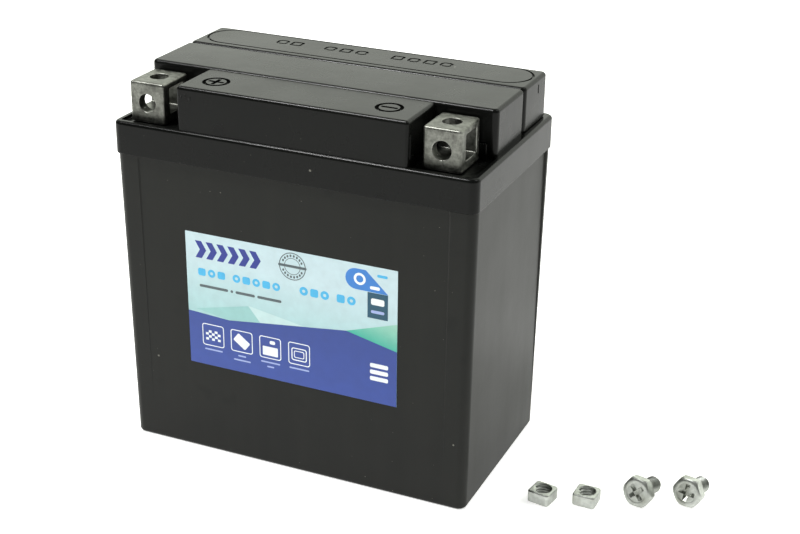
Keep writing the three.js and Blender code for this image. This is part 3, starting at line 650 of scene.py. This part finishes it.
def terminalBlock(name, node):
    (x0, y0, z0), (x1, y1, z1) = nodeBox(node)
    inset = terminal["inset"]
    block = column((x0 + inset, x1 - inset), (y0 + inset, y1 - inset), (z0, z1 - inset), terminal["corner"],
                   top=terminal["edge"], bottom=0.3, steps=8)
    rim, edge = terminal["seamInset"], terminal["seamEdge"]      # the mould's seam stands proud at the foot
    joinOn(block, column((x0 + rim, x1 - rim), (y0 + rim, y1 - rim),
                         (z0 + terminal["seamFoot"], z0 + terminal["seam"]), terminal["corner"],
                         top=edge, bottom=edge))
    middleX = (x0 + x1) / 2
    tunnelY = (y0 + terminal["front"], y1 - terminal["back"])
    tunnel = column((x0 - 1, x1 + 1), tunnelY, (z0 + terminal["floor"], z1 - terminal["roof"]), 0.3, steps=2)
    front = rod(terminal["hole"], -1, terminal["front"] + 3, (0, 0))
    place = Matrix.Translation((middleX, y0, z0 + terminal["holeRise"]))
    reshape(front, place @ Matrix.Rotation(math.radians(-90), 4, "X"))
    above = rod(terminal["hole"], z1 - terminal["roof"] - 2, z1 + 1, (middleX, (tunnelY[0] + tunnelY[1]) / 2))
    cutOut(block, tunnel, front, above)
    remesh = block.modifiers.new("cast", "REMESH")
    remesh.mode = "VOXEL"
    remesh.voxel_size = terminal["voxel"]
    applyModifiers(block)
    relax = block.modifiers.new("relax", "SMOOTH")
    relax.factor = 0.5
    relax.iterations = 4
    applyModifiers(block)
    for size, share in terminal["lumps"]:
        pattern = bpy.data.textures.new("castSkin", "CLOUDS")
        pattern.noise_scale = size
        pattern.noise_depth = 3
        skin = block.modifiers.new("skin", "DISPLACE")
        skin.texture = pattern
        skin.texture_coords = "LOCAL"
        skin.strength = terminal["rough"] * share
        skin.mid_level = 0.5
        applyModifiers(block)
        bpy.data.textures.remove(pattern)
    for vertex in block.data.vertices:      # stays inside the block that the CAD gives
        vertex.co = [min(max(c, low), high) for c, low, high in zip(vertex.co, (x0, y0, z0), (x1, y1, z1))]
    return finishPiece(block, name, [castLead], "battery", [node], angle=60, weighted=False)


terminalBlock("terminalBlockPositive", "terminal_positive")
terminalBlock("terminalBlockNegative", "terminal_negative")


# The label: thin closed slabs on the wall, one for each printed area, one material slot for each ink
label = {"film": 0.12, "ink": 0.03, "corner": 0.15, "sink": 0.02, "edge": 0.02}
labelLow, labelHigh = nodeBox("front_label")
inks = [
    # name, colour, colour it fades to, fade from, fade to, lean of the fade
    ("labelFilmMint", "#a9d2d2", "#c9dee4", 50, 76, 0.05),
    ("labelFilmBlue", "#3b54a4", "#354c98", 36, 60, 0.1),
    ("labelFilmTeal", "#43b6a1", "#a9d6c4", 66, 77, 0.25),
    ("labelInkNavy", "#2b3a94", None, 0, 0, 0),
    ("labelInkSky", "#4fb9e6", None, 0, 0, 0),
    ("labelInkGrey", "#5c6a6e", None, 0, 0, 0),
    ("labelInkWhite", "#f2f7f8", None, 0, 0, 0),
    ("labelInkSlate", "#20566e", None, 0, 0, 0),
    ("labelInkAzure", "#3f86d2", None, 0, 0, 0),
    ("labelInkHaze", "#a9b8e4", None, 0, 0, 0),
    ("labelTintPale", "#c9e3e3", None, 0, 0, 0),
    ("labelTintDeep", "#9fcdcb", None, 0, 0, 0),
]
inkIndex = {row[0]: k for k, row in enumerate(inks)}
labelFinishes = [printedFilm(name, ink, deeper, (low, high, lean))
                 for name, ink, deeper, low, high, lean in inks]
labelParts = {"verts": [], "faces": [], "slots": []}


def wallPoint(x, z, proud):
    out = caseHalfY - wallOffset(z) - panelDepthAt(z, case["panelDepth"]) + proud
    return (x, -out, z)


# Adds one printed area, a thin closed slab on the wall; outline runs anticlockwise as seen from the front
def printShape(ink, outline, level, hole=None):
    verts, faces, slots = labelParts["verts"], labelParts["faces"], labelParts["slots"]
    low = (label["film"] + (level - 1) * label["ink"] - label["sink"]) if level else 0.0
    high = label["film"] + level * label["ink"]
    start, count = len(verts), len(outline)
    loops = [(outline, low), (outline, high)]
    if hole:
        loops += [(hole, high), (hole, low)]
    for points, proud in loops:
        verts += [wallPoint(x, z, proud) for x, z in points]
    made = []
    for k in range(len(loops) if hole else 1):
        a, b = start + k * count, start + (k + 1) % len(loops) * count
        made += [(a + i, a + (i + 1) % count, b + (i + 1) % count, b + i) for i in range(count)]
    if not hole:
        made += [tuple(start + i for i in reversed(range(count))),
                 tuple(start + count + i for i in range(count))]
    faces += made
    slots += [inkIndex[ink]] * len(made)


def bar(ink, x0, x1, z0, z1, level, corner):
    halfX, halfZ = (x1 - x0) / 2, (z1 - z0) / 2
    ring = roundedRing(halfX, halfZ, min(corner, halfX * 0.98, halfZ * 0.98), 4)
    printShape(ink, [((x0 + x1) / 2 + x, (z0 + z1) / 2 + z) for x, z in ring], level)


def outlineBar(ink, x0, x1, z0, z1, stroke, corner, level):
    halfX, halfZ, cx, cz = (x1 - x0) / 2, (z1 - z0) / 2, (x0 + x1) / 2, (z0 + z1) / 2
    innerRing = roundedRing(halfX - stroke, halfZ - stroke, corner - stroke * 0.8, 5)
    outer = [(cx + x, cz + z) for x, z in roundedRing(halfX, halfZ, corner, 5)]
    inner = [(cx + x, cz + z) for x, z in innerRing]
    printShape(ink, outer, level, inner)


def circlePoints(cx, cz, radius, count=40):
    return [(cx + radius * math.cos(2 * math.pi * k / count), cz + radius * math.sin(2 * math.pi * k / count))
            for k in range(count)]


x0, x1, z0, z1 = labelLow[0], labelHigh[0], labelLow[2], labelHigh[2]
sheetMiddle = ((x0 + x1) / 2, (z0 + z1) / 2)
printShape("labelFilmMint", [(sheetMiddle[0] + x, sheetMiddle[1] + z) for x, z in
                             roundedRing((x1 - x0) / 2, (z1 - z0) / 2, label["corner"], 5)], 0)
edge = label["edge"]
blueTop = [(x0 + edge, 55.8), (-24.4, 54.9), (21.3, 60.6), (x1 - edge, 56.4)]
blueFoot = [(x0 + label["corner"], z0 + edge), (x1 - label["corner"], z0 + edge),
            (x1 - edge, z0 + label["corner"])]
printShape("labelFilmBlue", blueFoot + blueTop[::-1] + [(x0 + edge, z0 + label["corner"])], 1)
printShape("labelFilmTeal", [(21.3, 60.6), (x1 - edge, 56.4), (x1 - edge, 66.8)], 1)
printShape("labelTintDeep", [(-37.7, 57.0), (-24.4, 55.0), (-12.0, 56.5), (-16.6, 62.0)], 1)
printShape("labelTintPale", [(-16.4, 62.2), (-12.0, 56.6), (5.3, 58.7)], 1)

# Rows of plain marks stand where the printed words are on the real label
rows = {
    "chevrons": {"start": -37.0, "pitch": 4.3, "count": 6, "low": 77.0, "high": 83.4, "wide": 2.5,
                 "point": 1.9},
    "long": {"starts": (-36.2, -32.3, -28.4, -22.4, -18.5, -14.6, -10.7, -6.8), "middle": 71.7,
             "wide": 3.0, "high": 2.8, "disc": 1.5, "hole": 0.6, "discFirst": False},
    "short": {"starts": (3.8, 7.8, 11.8, 17.8, 21.8), "middle": 72.2,
              "wide": 3.0, "high": 3.0, "disc": 1.6, "hole": 0.6, "discFirst": True},
    "dashes": ((-35.8, -24.4), (-23.4, -22.4), (-21.4, -13.8), (-12.8, -3.4)),
    "dashLow": 65.9, "dashHigh": 66.9,
}


def chevron(x, low, high, wide, point):
    middle = (low + high) / 2
    printShape("labelInkNavy", [(x, low), (x + wide, low), (x + wide + point, middle), (x + wide, high),
                                (x, high), (x + point, middle)], 1)


# Rounded squares and holed discs take turns along the row
def markRow(starts, middle, wide, high, disc, hole, discFirst):
    for k, a in enumerate(starts):
        cx = a + wide / 2
        if (k % 2 == 0) == discFirst:
            printShape("labelInkSky", circlePoints(cx, middle, disc, 28), 1,
                       circlePoints(cx, middle, hole, 28))
        else:
            bar("labelInkSky", a, a + wide, middle - high / 2, middle + high / 2, 1, 0.7)


points = rows["chevrons"]
for k in range(points["count"]):
    chevron(points["start"] + points["pitch"] * k, points["low"], points["high"],
            points["wide"], points["point"])
markRow(**rows["long"])
for a, b in rows["dashes"]:
    bar("labelInkGrey", a, b, rows["dashLow"], rows["dashHigh"], 1, 0.45)
markRow(**rows["short"])

# Round stamp: two rings, small bars between them and one bar across
stamp = {"middle": (1.1, 80.6), "rings": ((5.1, 4.8), (3.1, 2.9)), "bars": 20, "barRing": 3.95,
         "barHalf": (0.35, 0.45), "clear": 0.35, "across": 5.4, "acrossLow": 80.15, "acrossHigh": 81.05}
for outer, inner in stamp["rings"]:
    printShape("labelInkGrey", circlePoints(*stamp["middle"], outer), 1,
               circlePoints(*stamp["middle"], inner))
for k in range(stamp["bars"]):
    angle = 2 * math.pi * (k + 0.5) / stamp["bars"]
    if abs(math.sin(angle)) > stamp["clear"]:         # no small bars where the long one crosses the rings
        cx = stamp["middle"][0] + stamp["barRing"] * math.cos(angle)
        cz = stamp["middle"][1] + stamp["barRing"] * math.sin(angle)
        halfX, halfZ = stamp["barHalf"]
        bar("labelInkGrey", cx - halfX, cx + halfX, cz - halfZ, cz + halfZ, 1, 0.3)
bar("labelInkGrey", stamp["middle"][0] - stamp["across"], stamp["middle"][0] + stamp["across"],
    stamp["acrossLow"], stamp["acrossHigh"], 2, 0.4)

# Ribbon with a round left end, and the dark tag under it
ribbon = [(29.2, 77.0), (36.9, 76.9), (28.6, 84.6), (24.9, 84.6)]
for step in range(1, 12):
    turn = math.radians(15 * step)
    ribbon.append((24.9 - 3.8 * math.sin(turn), 80.8 + 3.8 * math.cos(turn)))
ribbon.append((24.9, 77.0))
printShape("labelInkAzure", ribbon, 1)
bar("labelInkSlate", 29.3, 36.8, 67.4, 76.8, 1, 0.1)
printShape("labelInkWhite", circlePoints(26.4, 81.0, 2.2, 28), 2, circlePoints(26.4, 81.0, 1.3, 28))
for ink, a, b, low, high, level, corner in (
        ("labelInkWhite", 30.2, 33.8, 78.0, 79.2, 2, 0.5), ("labelInkWhite", 30.6, 35.5, 72.4, 74.8, 2, 0.6),
        ("labelInkHaze", 30.6, 35.5, 69.3, 70.4, 2, 0.45), ("labelInkSky", 32.8, 36.6, 82.8, 83.8, 1, 0.45)):
    bar(ink, a, b, low, high, level, corner)


# Four framed signs, each with caption bars under it; these are what stands inside the frames
def chequers(cx):
    for row in range(4):
        for place in range(5):
            if (row + place) % 2 == 0:
                a, low = cx - 3.0 + place * 1.2, 45.4 + row * 1.0
                bar("labelInkWhite", a, a + 1.15, low, low + 0.95, 2, 0.05)


def tiltedBlock(cx):
    ring = roundedRing(2.9, 1.8, 0.5, 4)
    printShape("labelInkWhite", [((x * 0.8 + z * 0.6) + cx, (-x * 0.6 + z * 0.8) + 47.5) for x, z in ring], 2)


def blockAndKnob(cx):
    bar("labelInkWhite", cx - 3.0, cx + 3.0, 44.4, 47.9, 2, 0.3)
    bar("labelInkWhite", cx - 0.2, cx + 2.0, 49.0, 50.4, 2, 0.6)


def nestedFrames(cx):
    outlineBar("labelInkWhite", cx - 3.0, cx + 3.0, 44.8, 49.8, 0.4, 0.9, 2)
    outlineBar("labelInkWhite", cx - 2.0, cx + 2.0, 45.9, 48.7, 0.3, 0.6, 2)


signs = {
    "low": 43.2, "high": 51.8, "stroke": 0.35, "corner": 1.0,
    "captionLow": 41.4, "captionHigh": 42.0, "captionPitch": 1.7, "captionCorner": 0.28,
    # left and right edge, what stands inside, half lengths of the caption bars
    "frames": ((-35.5, -26.7, chequers, (3.6, 0)), (-24.0, -15.2, tiltedBlock, (1.6, 3.4)),
               (-12.5, -3.9, blockAndKnob, (3.8, 1.4)), (-1.1, 7.4, nestedFrames, (3.9, 0))),
}
for left, right, inside, captions in signs["frames"]:
    outlineBar("labelInkWhite", left, right, signs["low"], signs["high"], signs["stroke"], signs["corner"], 2)
    cx = (left + right) / 2
    inside(cx)
    for row, reach in enumerate(captions):
        drop = signs["captionPitch"] * row
        if reach:
            bar("labelInkHaze", cx - reach, cx + reach, signs["captionLow"] - drop,
                signs["captionHigh"] - drop, 2, signs["captionCorner"])

# Three bars at the foot's right end
footBars = {"lows": (43.8, 46.3, 48.8), "high": 1.6, "left": 30.3, "right": 37.1, "corner": 0.5}
for low in footBars["lows"]:
    bar("labelInkWhite", footBars["left"], footBars["right"], low, low + footBars["high"], 2,
        footBars["corner"])

film = makeObject("film", labelParts["verts"], labelParts["faces"], labelParts["slots"])
work = bmesh.new()
work.from_mesh(film.data)
bmesh.ops.recalc_face_normals(work, faces=work.faces)
work.to_mesh(film.data)
work.free()
finishPiece(film, "labelFilm", labelFinishes, "battery", ["front_label"], angle=20,
            weighted=False)


# A Geometry Nodes tree with its named inputs, and the outputs of the node that hands them on
def startTree(name, inputs):
    tree = bpy.data.node_groups.new(name, "GeometryNodeTree")
    for title, kind, default in (("Geometry", "Geometry", None), *inputs, ("Finish", "Material", None)):
        socket = tree.interface.new_socket(name=title, in_out="INPUT", socket_type="NodeSocket" + kind)
        if default is not None:
            socket.default_value = default
    tree.interface.new_socket(name="Geometry", in_out="OUTPUT", socket_type="NodeSocketGeometry")
    return tree, addNode(tree, "NodeGroupInput").outputs


# Joins what a tree made to the shape that it was given, makes it real and gives it its finish
def endTree(tree, given, made):
    both = addNode(tree, "GeometryNodeJoinGeometry")
    tree.links.new(made, both.inputs[0])
    tree.links.new(given["Geometry"], both.inputs[0])
    real = addNode(tree, "GeometryNodeRealizeInstances", links={"Geometry": both.outputs[0]})
    painted = addNode(tree, "GeometryNodeSetMaterial",
                      links={"Geometry": real.outputs[0], "Material": given["Finish"]})
    addNode(tree, "NodeGroupOutput", links={0: painted.outputs[0]})


# Grip ribs set round a cap: instances on a ring of points
def ribTree():
    tree, given = startTree("capRibs", (
        ("Rib Count", "Int", 18), ("Ring Radius", "Float", 5.6), ("Rib Radius", "Float", 0.35),
        ("Rib Height", "Float", 4.0), ("Rib Middle", "Float", 127.0), ("Middle X", "Float", 0.0),
        ("Middle Y", "Float", 0.0)))
    ring = addNode(tree, "GeometryNodeMeshCircle",
                   links={"Vertices": given["Rib Count"], "Radius": given["Ring Radius"]})
    rib = addNode(tree, "GeometryNodeMeshUVSphere", {"Segments": 8, "Rings": 6, "Radius": 1.0})
    size = addNode(tree, "ShaderNodeCombineXYZ",
                   links={0: given["Rib Radius"], 1: given["Rib Radius"], 2: given["Rib Height"]})
    ribs = addNode(tree, "GeometryNodeInstanceOnPoints",
                   links={"Points": ring.outputs["Mesh"], "Instance": rib.outputs["Mesh"],
                          "Scale": size.outputs[0]})
    spot = addNode(tree, "ShaderNodeCombineXYZ",
                   links={0: given["Middle X"], 1: given["Middle Y"], 2: given["Rib Middle"]})
    moved = addNode(tree, "GeometryNodeTransform",
                    links={"Geometry": ribs.outputs[0], "Translation": spot.outputs[0]})
    endTree(tree, given, moved.outputs[0])
    return tree


# The valve caps: ribbed rubber cups, one on each cell's neck
valve = {"wall": 1.1, "roof": 2.0, "edge": 0.6, "ribs": 20, "rib": 0.3, "ribReach": 0.36, "ribDrop": 0.5,
         "pole": 0.8}      # radius of the flat middle of the roof
capRibs = ribTree()
for number in range(1, case["cells"] + 1):
    low, high = nodeBox(f"valve_cap_{number}")
    spot = ((low[0] + high[0]) / 2, (low[1] + high[1]) / 2)
    outer = (high[0] - low[0]) / 2 - valve["rib"]
    inner = outer - valve["wall"] + valve["rib"]
    edge, ceiling = valve["edge"], high[2] - valve["roof"]
    profile = [(valve["pole"], ceiling), (inner, ceiling), (inner, low[2]), (outer, low[2]),
               (outer, high[2] - edge), (outer - edge * 0.3, high[2] - edge * 0.3), (outer - edge, high[2]),
               (valve["pole"], high[2])]
    cup = turned(profile, spot, 48)
    fixFaces(cup)
    runTree(cup, capRibs, {"Rib Count": valve["ribs"], "Ring Radius": outer, "Rib Radius": valve["rib"],
                           "Rib Height": (high[2] - low[2]) * valve["ribReach"],
                           "Rib Middle": (low[2] + high[2]) / 2 - valve["ribDrop"],
                           "Middle X": spot[0], "Middle Y": spot[1], "Finish": rubber})
    finishPiece(cup, f"valveCap{number}", [rubber], f"valve_{number}", [f"valve_cap_{number}"])


# A thread: a three-sided ridge swept along a spiral; Tip Turn points its tip inwards or outwards
def threadTree():
    tree, given = startTree("threadRidge", (
        ("Turns", "Float", 8.0), ("Pitch", "Float", 1.0), ("Radius", "Float", 2.5), ("Ridge", "Float", 0.45),
        ("Start", "Float", 0.0), ("Tip Turn", "Float", 0.0)))
    rise = addNode(tree, "ShaderNodeMath", {"operation": "MULTIPLY"}, {0: given["Turns"], 1: given["Pitch"]})
    spiral = addNode(tree, "GeometryNodeCurveSpiral", {"Resolution": 40},
                     {"Rotations": given["Turns"], "Start Radius": given["Radius"],
                      "End Radius": given["Radius"], "Height": rise.outputs[0]})
    upright = addNode(tree, "GeometryNodeSetCurveNormal", {"mode": "Z_UP"}, {"Curve": spiral.outputs[0]})
    profile = addNode(tree, "GeometryNodeCurvePrimitiveCircle", {"Resolution": 3}, {"Radius": given["Ridge"]})
    swing = addNode(tree, "ShaderNodeCombineXYZ", links={2: given["Tip Turn"]})
    tipped = addNode(tree, "GeometryNodeTransform",
                     links={"Geometry": profile.outputs[0], "Rotation": swing.outputs[0]})
    ridge = addNode(tree, "GeometryNodeCurveToMesh", {"Fill Caps": True},
                    {"Curve": upright.outputs[0], "Profile Curve": tipped.outputs[0]})
    lift = addNode(tree, "ShaderNodeCombineXYZ", links={2: given["Start"]})
    moved = addNode(tree, "GeometryNodeTransform",
                    links={"Geometry": ridge.outputs[0], "Translation": lift.outputs[0]})
    endTree(tree, given, moved.outputs[0])
    return tree


threadRidge = threadTree()

# The nuts: square, with rounded corners and a threaded bore
nut = {"corner": 1.1, "edge": 0.6, "bore": 2.95, "mouth": 0.35, "past": 0.2, "ridge": 0.5, "ridgeSunk": 0.05,
       "pitch": 1.0, "threadEnd": 0.55, "turns": {"nut_1": -9.3, "nut_2": -1.3}, "wide": 8.2}
for number, (node, turn) in enumerate(nut["turns"].items(), 1):
    low, high = nodeBox(node)
    tall, half = high[2], nut["wide"] / 2
    block = column((-half, half), (-half, half), (0, tall), nut["corner"], top=nut["edge"],
                   bottom=nut["edge"], steps=5)
    bore, mouth, past = nut["bore"], nut["mouth"], nut["past"]
    cutOut(block, turned([(bore + mouth + past, -past), (bore, mouth), (bore, tall - mouth),
                          (bore + mouth + past, tall + past)]))
    fixFaces(block)
    runTree(block, threadRidge, {"Turns": (tall - 2 * nut["threadEnd"]) / nut["pitch"], "Pitch": nut["pitch"],
                                 "Radius": bore + nut["ridgeSunk"], "Ridge": nut["ridge"],
                                 "Start": nut["threadEnd"], "Tip Turn": 0.0, "Finish": zincPlate})
    middle = Vector(((low[0] + high[0]) / 2, (low[1] + high[1]) / 2, 0))
    reshape(block, Matrix.Translation(middle) @ Matrix.Rotation(math.radians(turn), 4, "Z"))
    finishPiece(block, f"squareNut{number}", [zincPlate], node, [node])


# The bolts: hexagon heads with a round chamfer, a washer face, a shallow dish and a cross recess.
# Each is made standing on its head, z running from the head's top to the tip, and then laid down.
bolt = {
    "flats": 10.0, "head": 4.0, "headEdge": 0.8, "corner": 0.6, "washer": 0.35,
    "dish": 3.75, "dishDeep": 0.22, "dishSlope": 0.35,
    "length": 10.0, "radius": 2.95, "root": 2.5, "tip": 0.5, "pitch": 1.0, "ridge": 0.44, "threadStart": 0.5,
    "threadEnd": 0.9,
    "crossLong": 6.8, "crossWide": 1.7, "crossDeep": 1.5, "crossCorner": 0.3, "flare": 1.5,
    "turns": {"bolt_1": (15, 45), "bolt_2": (13.4, 4)},      # how each one lies, and how its cross is turned
}


# The head's outline: each corner of the hexagon is an arc
def hexagonPoints(corner, radius):
    points = []
    reach = corner - radius / math.cos(math.pi / 6)
    for k in range(6):
        middle = k * math.pi / 3
        for swing in (-30, -15, 0, 15, 30):
            angle = middle + math.radians(swing)
            points.append((reach * math.cos(middle) + radius * math.cos(angle),
                           reach * math.sin(middle) + radius * math.sin(angle)))
    return points


for number, (node, (turn, crossTurn)) in enumerate(bolt["turns"].items(), 1):
    low, high = nodeBox(node)
    half, edge = bolt["flats"] / 2, bolt["headEdge"]
    corner = half / math.cos(math.pi / 6)
    tall, tipZ = bolt["head"], bolt["head"] + bolt["length"]
    hexagon = hexagonPoints(corner, bolt["corner"])
    head = loft("head", [[(x, y, z) for x, y in hexagon] for z in (0, tall - bolt["washer"])])
    chamfer = turned([(half - 0.9, 0.0), (half - 0.45, 0.06), (half - 0.1, 0.24), (half + 0.3, edge * 0.75),
                      (corner - 0.1, edge + 0.35), (corner + 0.1, edge + 0.7), (corner + 0.1, tall - 0.9),
                      (half - 0.1, tall + 0.01)], steps=72)
    combine(head, [chamfer], "INTERSECT")
    cutOut(head, turned([(bolt["dish"], -0.5), (bolt["dish"], 0.02),
                         (bolt["dish"] - bolt["dishSlope"], bolt["dishDeep"])], steps=64))
    joinOn(head, rod(half - bolt["washer"], tall - bolt["washer"] - 0.5, tall, (0, 0), 64))
    mouth = (bolt["crossLong"] / 2, bolt["crossWide"] / 2)
    foot = (bolt["crossLong"] / 4, bolt["crossWide"] / 2.4)
    for angle in (0, 90):
        rings = []
        for z, share in ((-0.6, -0.1), (0.0, 0.0), (bolt["crossDeep"], 1.0)):
            hx, hy = mouth[0] + (foot[0] - mouth[0]) * share, mouth[1] + (foot[1] - mouth[1]) * share
            rings.append([(x, y, z) for x, y in roundedRing(hx, hy, bolt["crossCorner"], 4)])
        cutOut(head, reshape(loft("arm", rings), Matrix.Rotation(math.radians(angle + crossTurn), 4, "Z")))
    cutOut(head, turned([(bolt["flare"] + 0.3, -0.3), (bolt["flare"], 0.0),
                         (0.5, bolt["crossDeep"] + 0.05)], steps=32))
    joinOn(head, turned([(bolt["root"], tall - 0.5), (bolt["root"], tipZ - bolt["tip"]),
                         (bolt["root"] - bolt["tip"], tipZ)], steps=48))
    fixFaces(head)
    threadLong = bolt["length"] - bolt["threadStart"] - bolt["threadEnd"]
    runTree(head, threadRidge, {"Turns": threadLong / bolt["pitch"],
                                "Pitch": bolt["pitch"], "Radius": bolt["radius"] - bolt["ridge"],
                                "Ridge": bolt["ridge"], "Start": tall + bolt["threadStart"],
                                "Tip Turn": math.pi, "Finish": zincPlate})
    slope = math.atan((bolt["flats"] / 2 - bolt["radius"]) / bolt["length"])
    laid = (Matrix.Rotation(-math.radians(turn), 4, "Z") @ Matrix.Rotation(-slope, 4, "X")
            @ Matrix.Rotation(-math.pi / 2, 4, "X"))
    reshape(head, laid)
    xs, ys, zs = zip(*[v.co for v in head.data.vertices])
    reshape(head, Matrix.Translation(((low[0] + high[0] - min(xs) - max(xs)) / 2,
                                      (low[1] + high[1] - min(ys) - max(ys)) / 2, -min(zs))))
    finishPiece(head, f"crossBolt{number}", [zincPlate], node, [node])


# CAD parts that stay, with their real finishes
inner = {
    "post_positive": castLead, "post_negative": castLead,
    "post_ring_positive": rubber, "post_ring_negative": rubber,
    "post_seal_positive": potting, "post_seal_negative": potting,
}
for number in range(1, case["cells"] + 1):
    inner[f"positive_plates_{number}"] = positivePaste
    inner[f"negative_plates_{number}"] = negativePaste
    inner[f"separator_{number}"] = glassMat
    if number < case["cells"]:
        inner[f"cell_link_{number}"] = castLead
for node, finish in inner.items():
    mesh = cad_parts[node].data
    mesh.materials.clear()
    mesh.materials.append(finish)
print("inner parts finished")

# The studio: white floor, bright far side, dim near side and two softboxes
studio = {
    "floor": "#f4f4f2", "floorGlow": 0.7, "floorHalf": 3, "world": "#fbfff5", "backLight": 1.7,
    "frontLight": 0.1, "dimBelow": 0.1, "brightAbove": 0.7, "contrast": 0.9, "lens": 69.97, "sensor": 36,
    "camera": (0.22704, -0.46411, 0.29518), "cameraTurn": (66.0673, -0.8116, 23.8636),
    "aim": (0.03, 0, 0.07),         # the softboxes point at the battery's middle
    # name, place, side in metres, watts
    "softboxes": (("overheadSoftbox", (-0.38, -0.27, 1.0), 0.2, 10),
                  ("sideSoftbox", (0.6, 0.15, 0.9), 0.3, 1.5)),
}
floorMaterial, tree = newMaterial("mattStudioPaper")      # matt card: even and pale, with a faint tooth
place = addNode(tree, "ShaderNodeTexCoord").outputs["Object"]
tooth = addNode(tree, "ShaderNodeTexNoise", {"Scale": perMetre(1.5), "Detail": 3.0}, {"Vector": place})
bump = addNode(tree, "ShaderNodeBump", {"Strength": 0.1, "Distance": 0.0002},
               {"Height": tooth.outputs["Fac"]})
paper = addNode(tree, "ShaderNodeBsdfPrincipled",
                {"Base Color": hexColour(studio["floor"]), "Roughness": 0.9, "IOR": 1.45,
                 "Emission Color": (1, 1, 1, 1), "Emission Strength": studio["floorGlow"]},
                {"Normal": bump.outputs[0]})
closeMaterial(tree, paper)
ground = bpy.data.meshes.new("studioFloor")
far = studio["floorHalf"]
ground.from_pydata([(-far, -far, 0), (far, -far, 0), (far, far, 0), (-far, far, 0)], [], [(0, 1, 2, 3)])
ground.materials.append(floorMaterial)
floorObject = bpy.data.objects.new("studioFloor", ground)
scene.collection.objects.link(floorObject)

world = bpy.data.worlds.new("studioRoom")
scene.world = world
world.use_nodes = True
sky = world.node_tree
sky.nodes.clear()
direction = addNode(sky, "ShaderNodeTexCoord").outputs["Generated"]
split = addNode(sky, "ShaderNodeSeparateXYZ", links={0: direction})
ramp = addNode(sky, "ShaderNodeMapRange",
               {"From Min": studio["dimBelow"], "From Max": studio["brightAbove"],
                "To Min": studio["frontLight"], "To Max": studio["backLight"]}, {"Value": split.outputs[1]})
glow = addNode(sky, "ShaderNodeBackground", {"Color": hexColour(studio["world"])},
               {"Strength": ramp.outputs[0]})
addNode(sky, "ShaderNodeOutputWorld", links={"Surface": glow.outputs[0]})


def softbox(name, place, side, power):
    lamp = bpy.data.lights.new(name, "AREA")
    lamp.shape = "RECTANGLE"
    lamp.size = lamp.size_y = side
    lamp.energy = power
    holder = bpy.data.objects.new(name, lamp)
    holder.location = place
    holder.rotation_euler = (Vector(studio["aim"]) - Vector(place)).to_track_quat("-Z", "Y").to_euler()
    scene.collection.objects.link(holder)


for row in studio["softboxes"]:
    softbox(*row)

lens = bpy.data.cameras.new("camera")
lens.lens = studio["lens"]
lens.sensor_width = studio["sensor"]
viewer = bpy.data.objects.new("camera", lens)
viewer.location = studio["camera"]
viewer.rotation_euler = [math.radians(a) for a in studio["cameraTurn"]]
scene.collection.objects.link(viewer)
scene.camera = viewer
scene.view_settings.view_transform = "Standard"
scene.view_settings.gamma = studio["contrast"]
print("studio set")
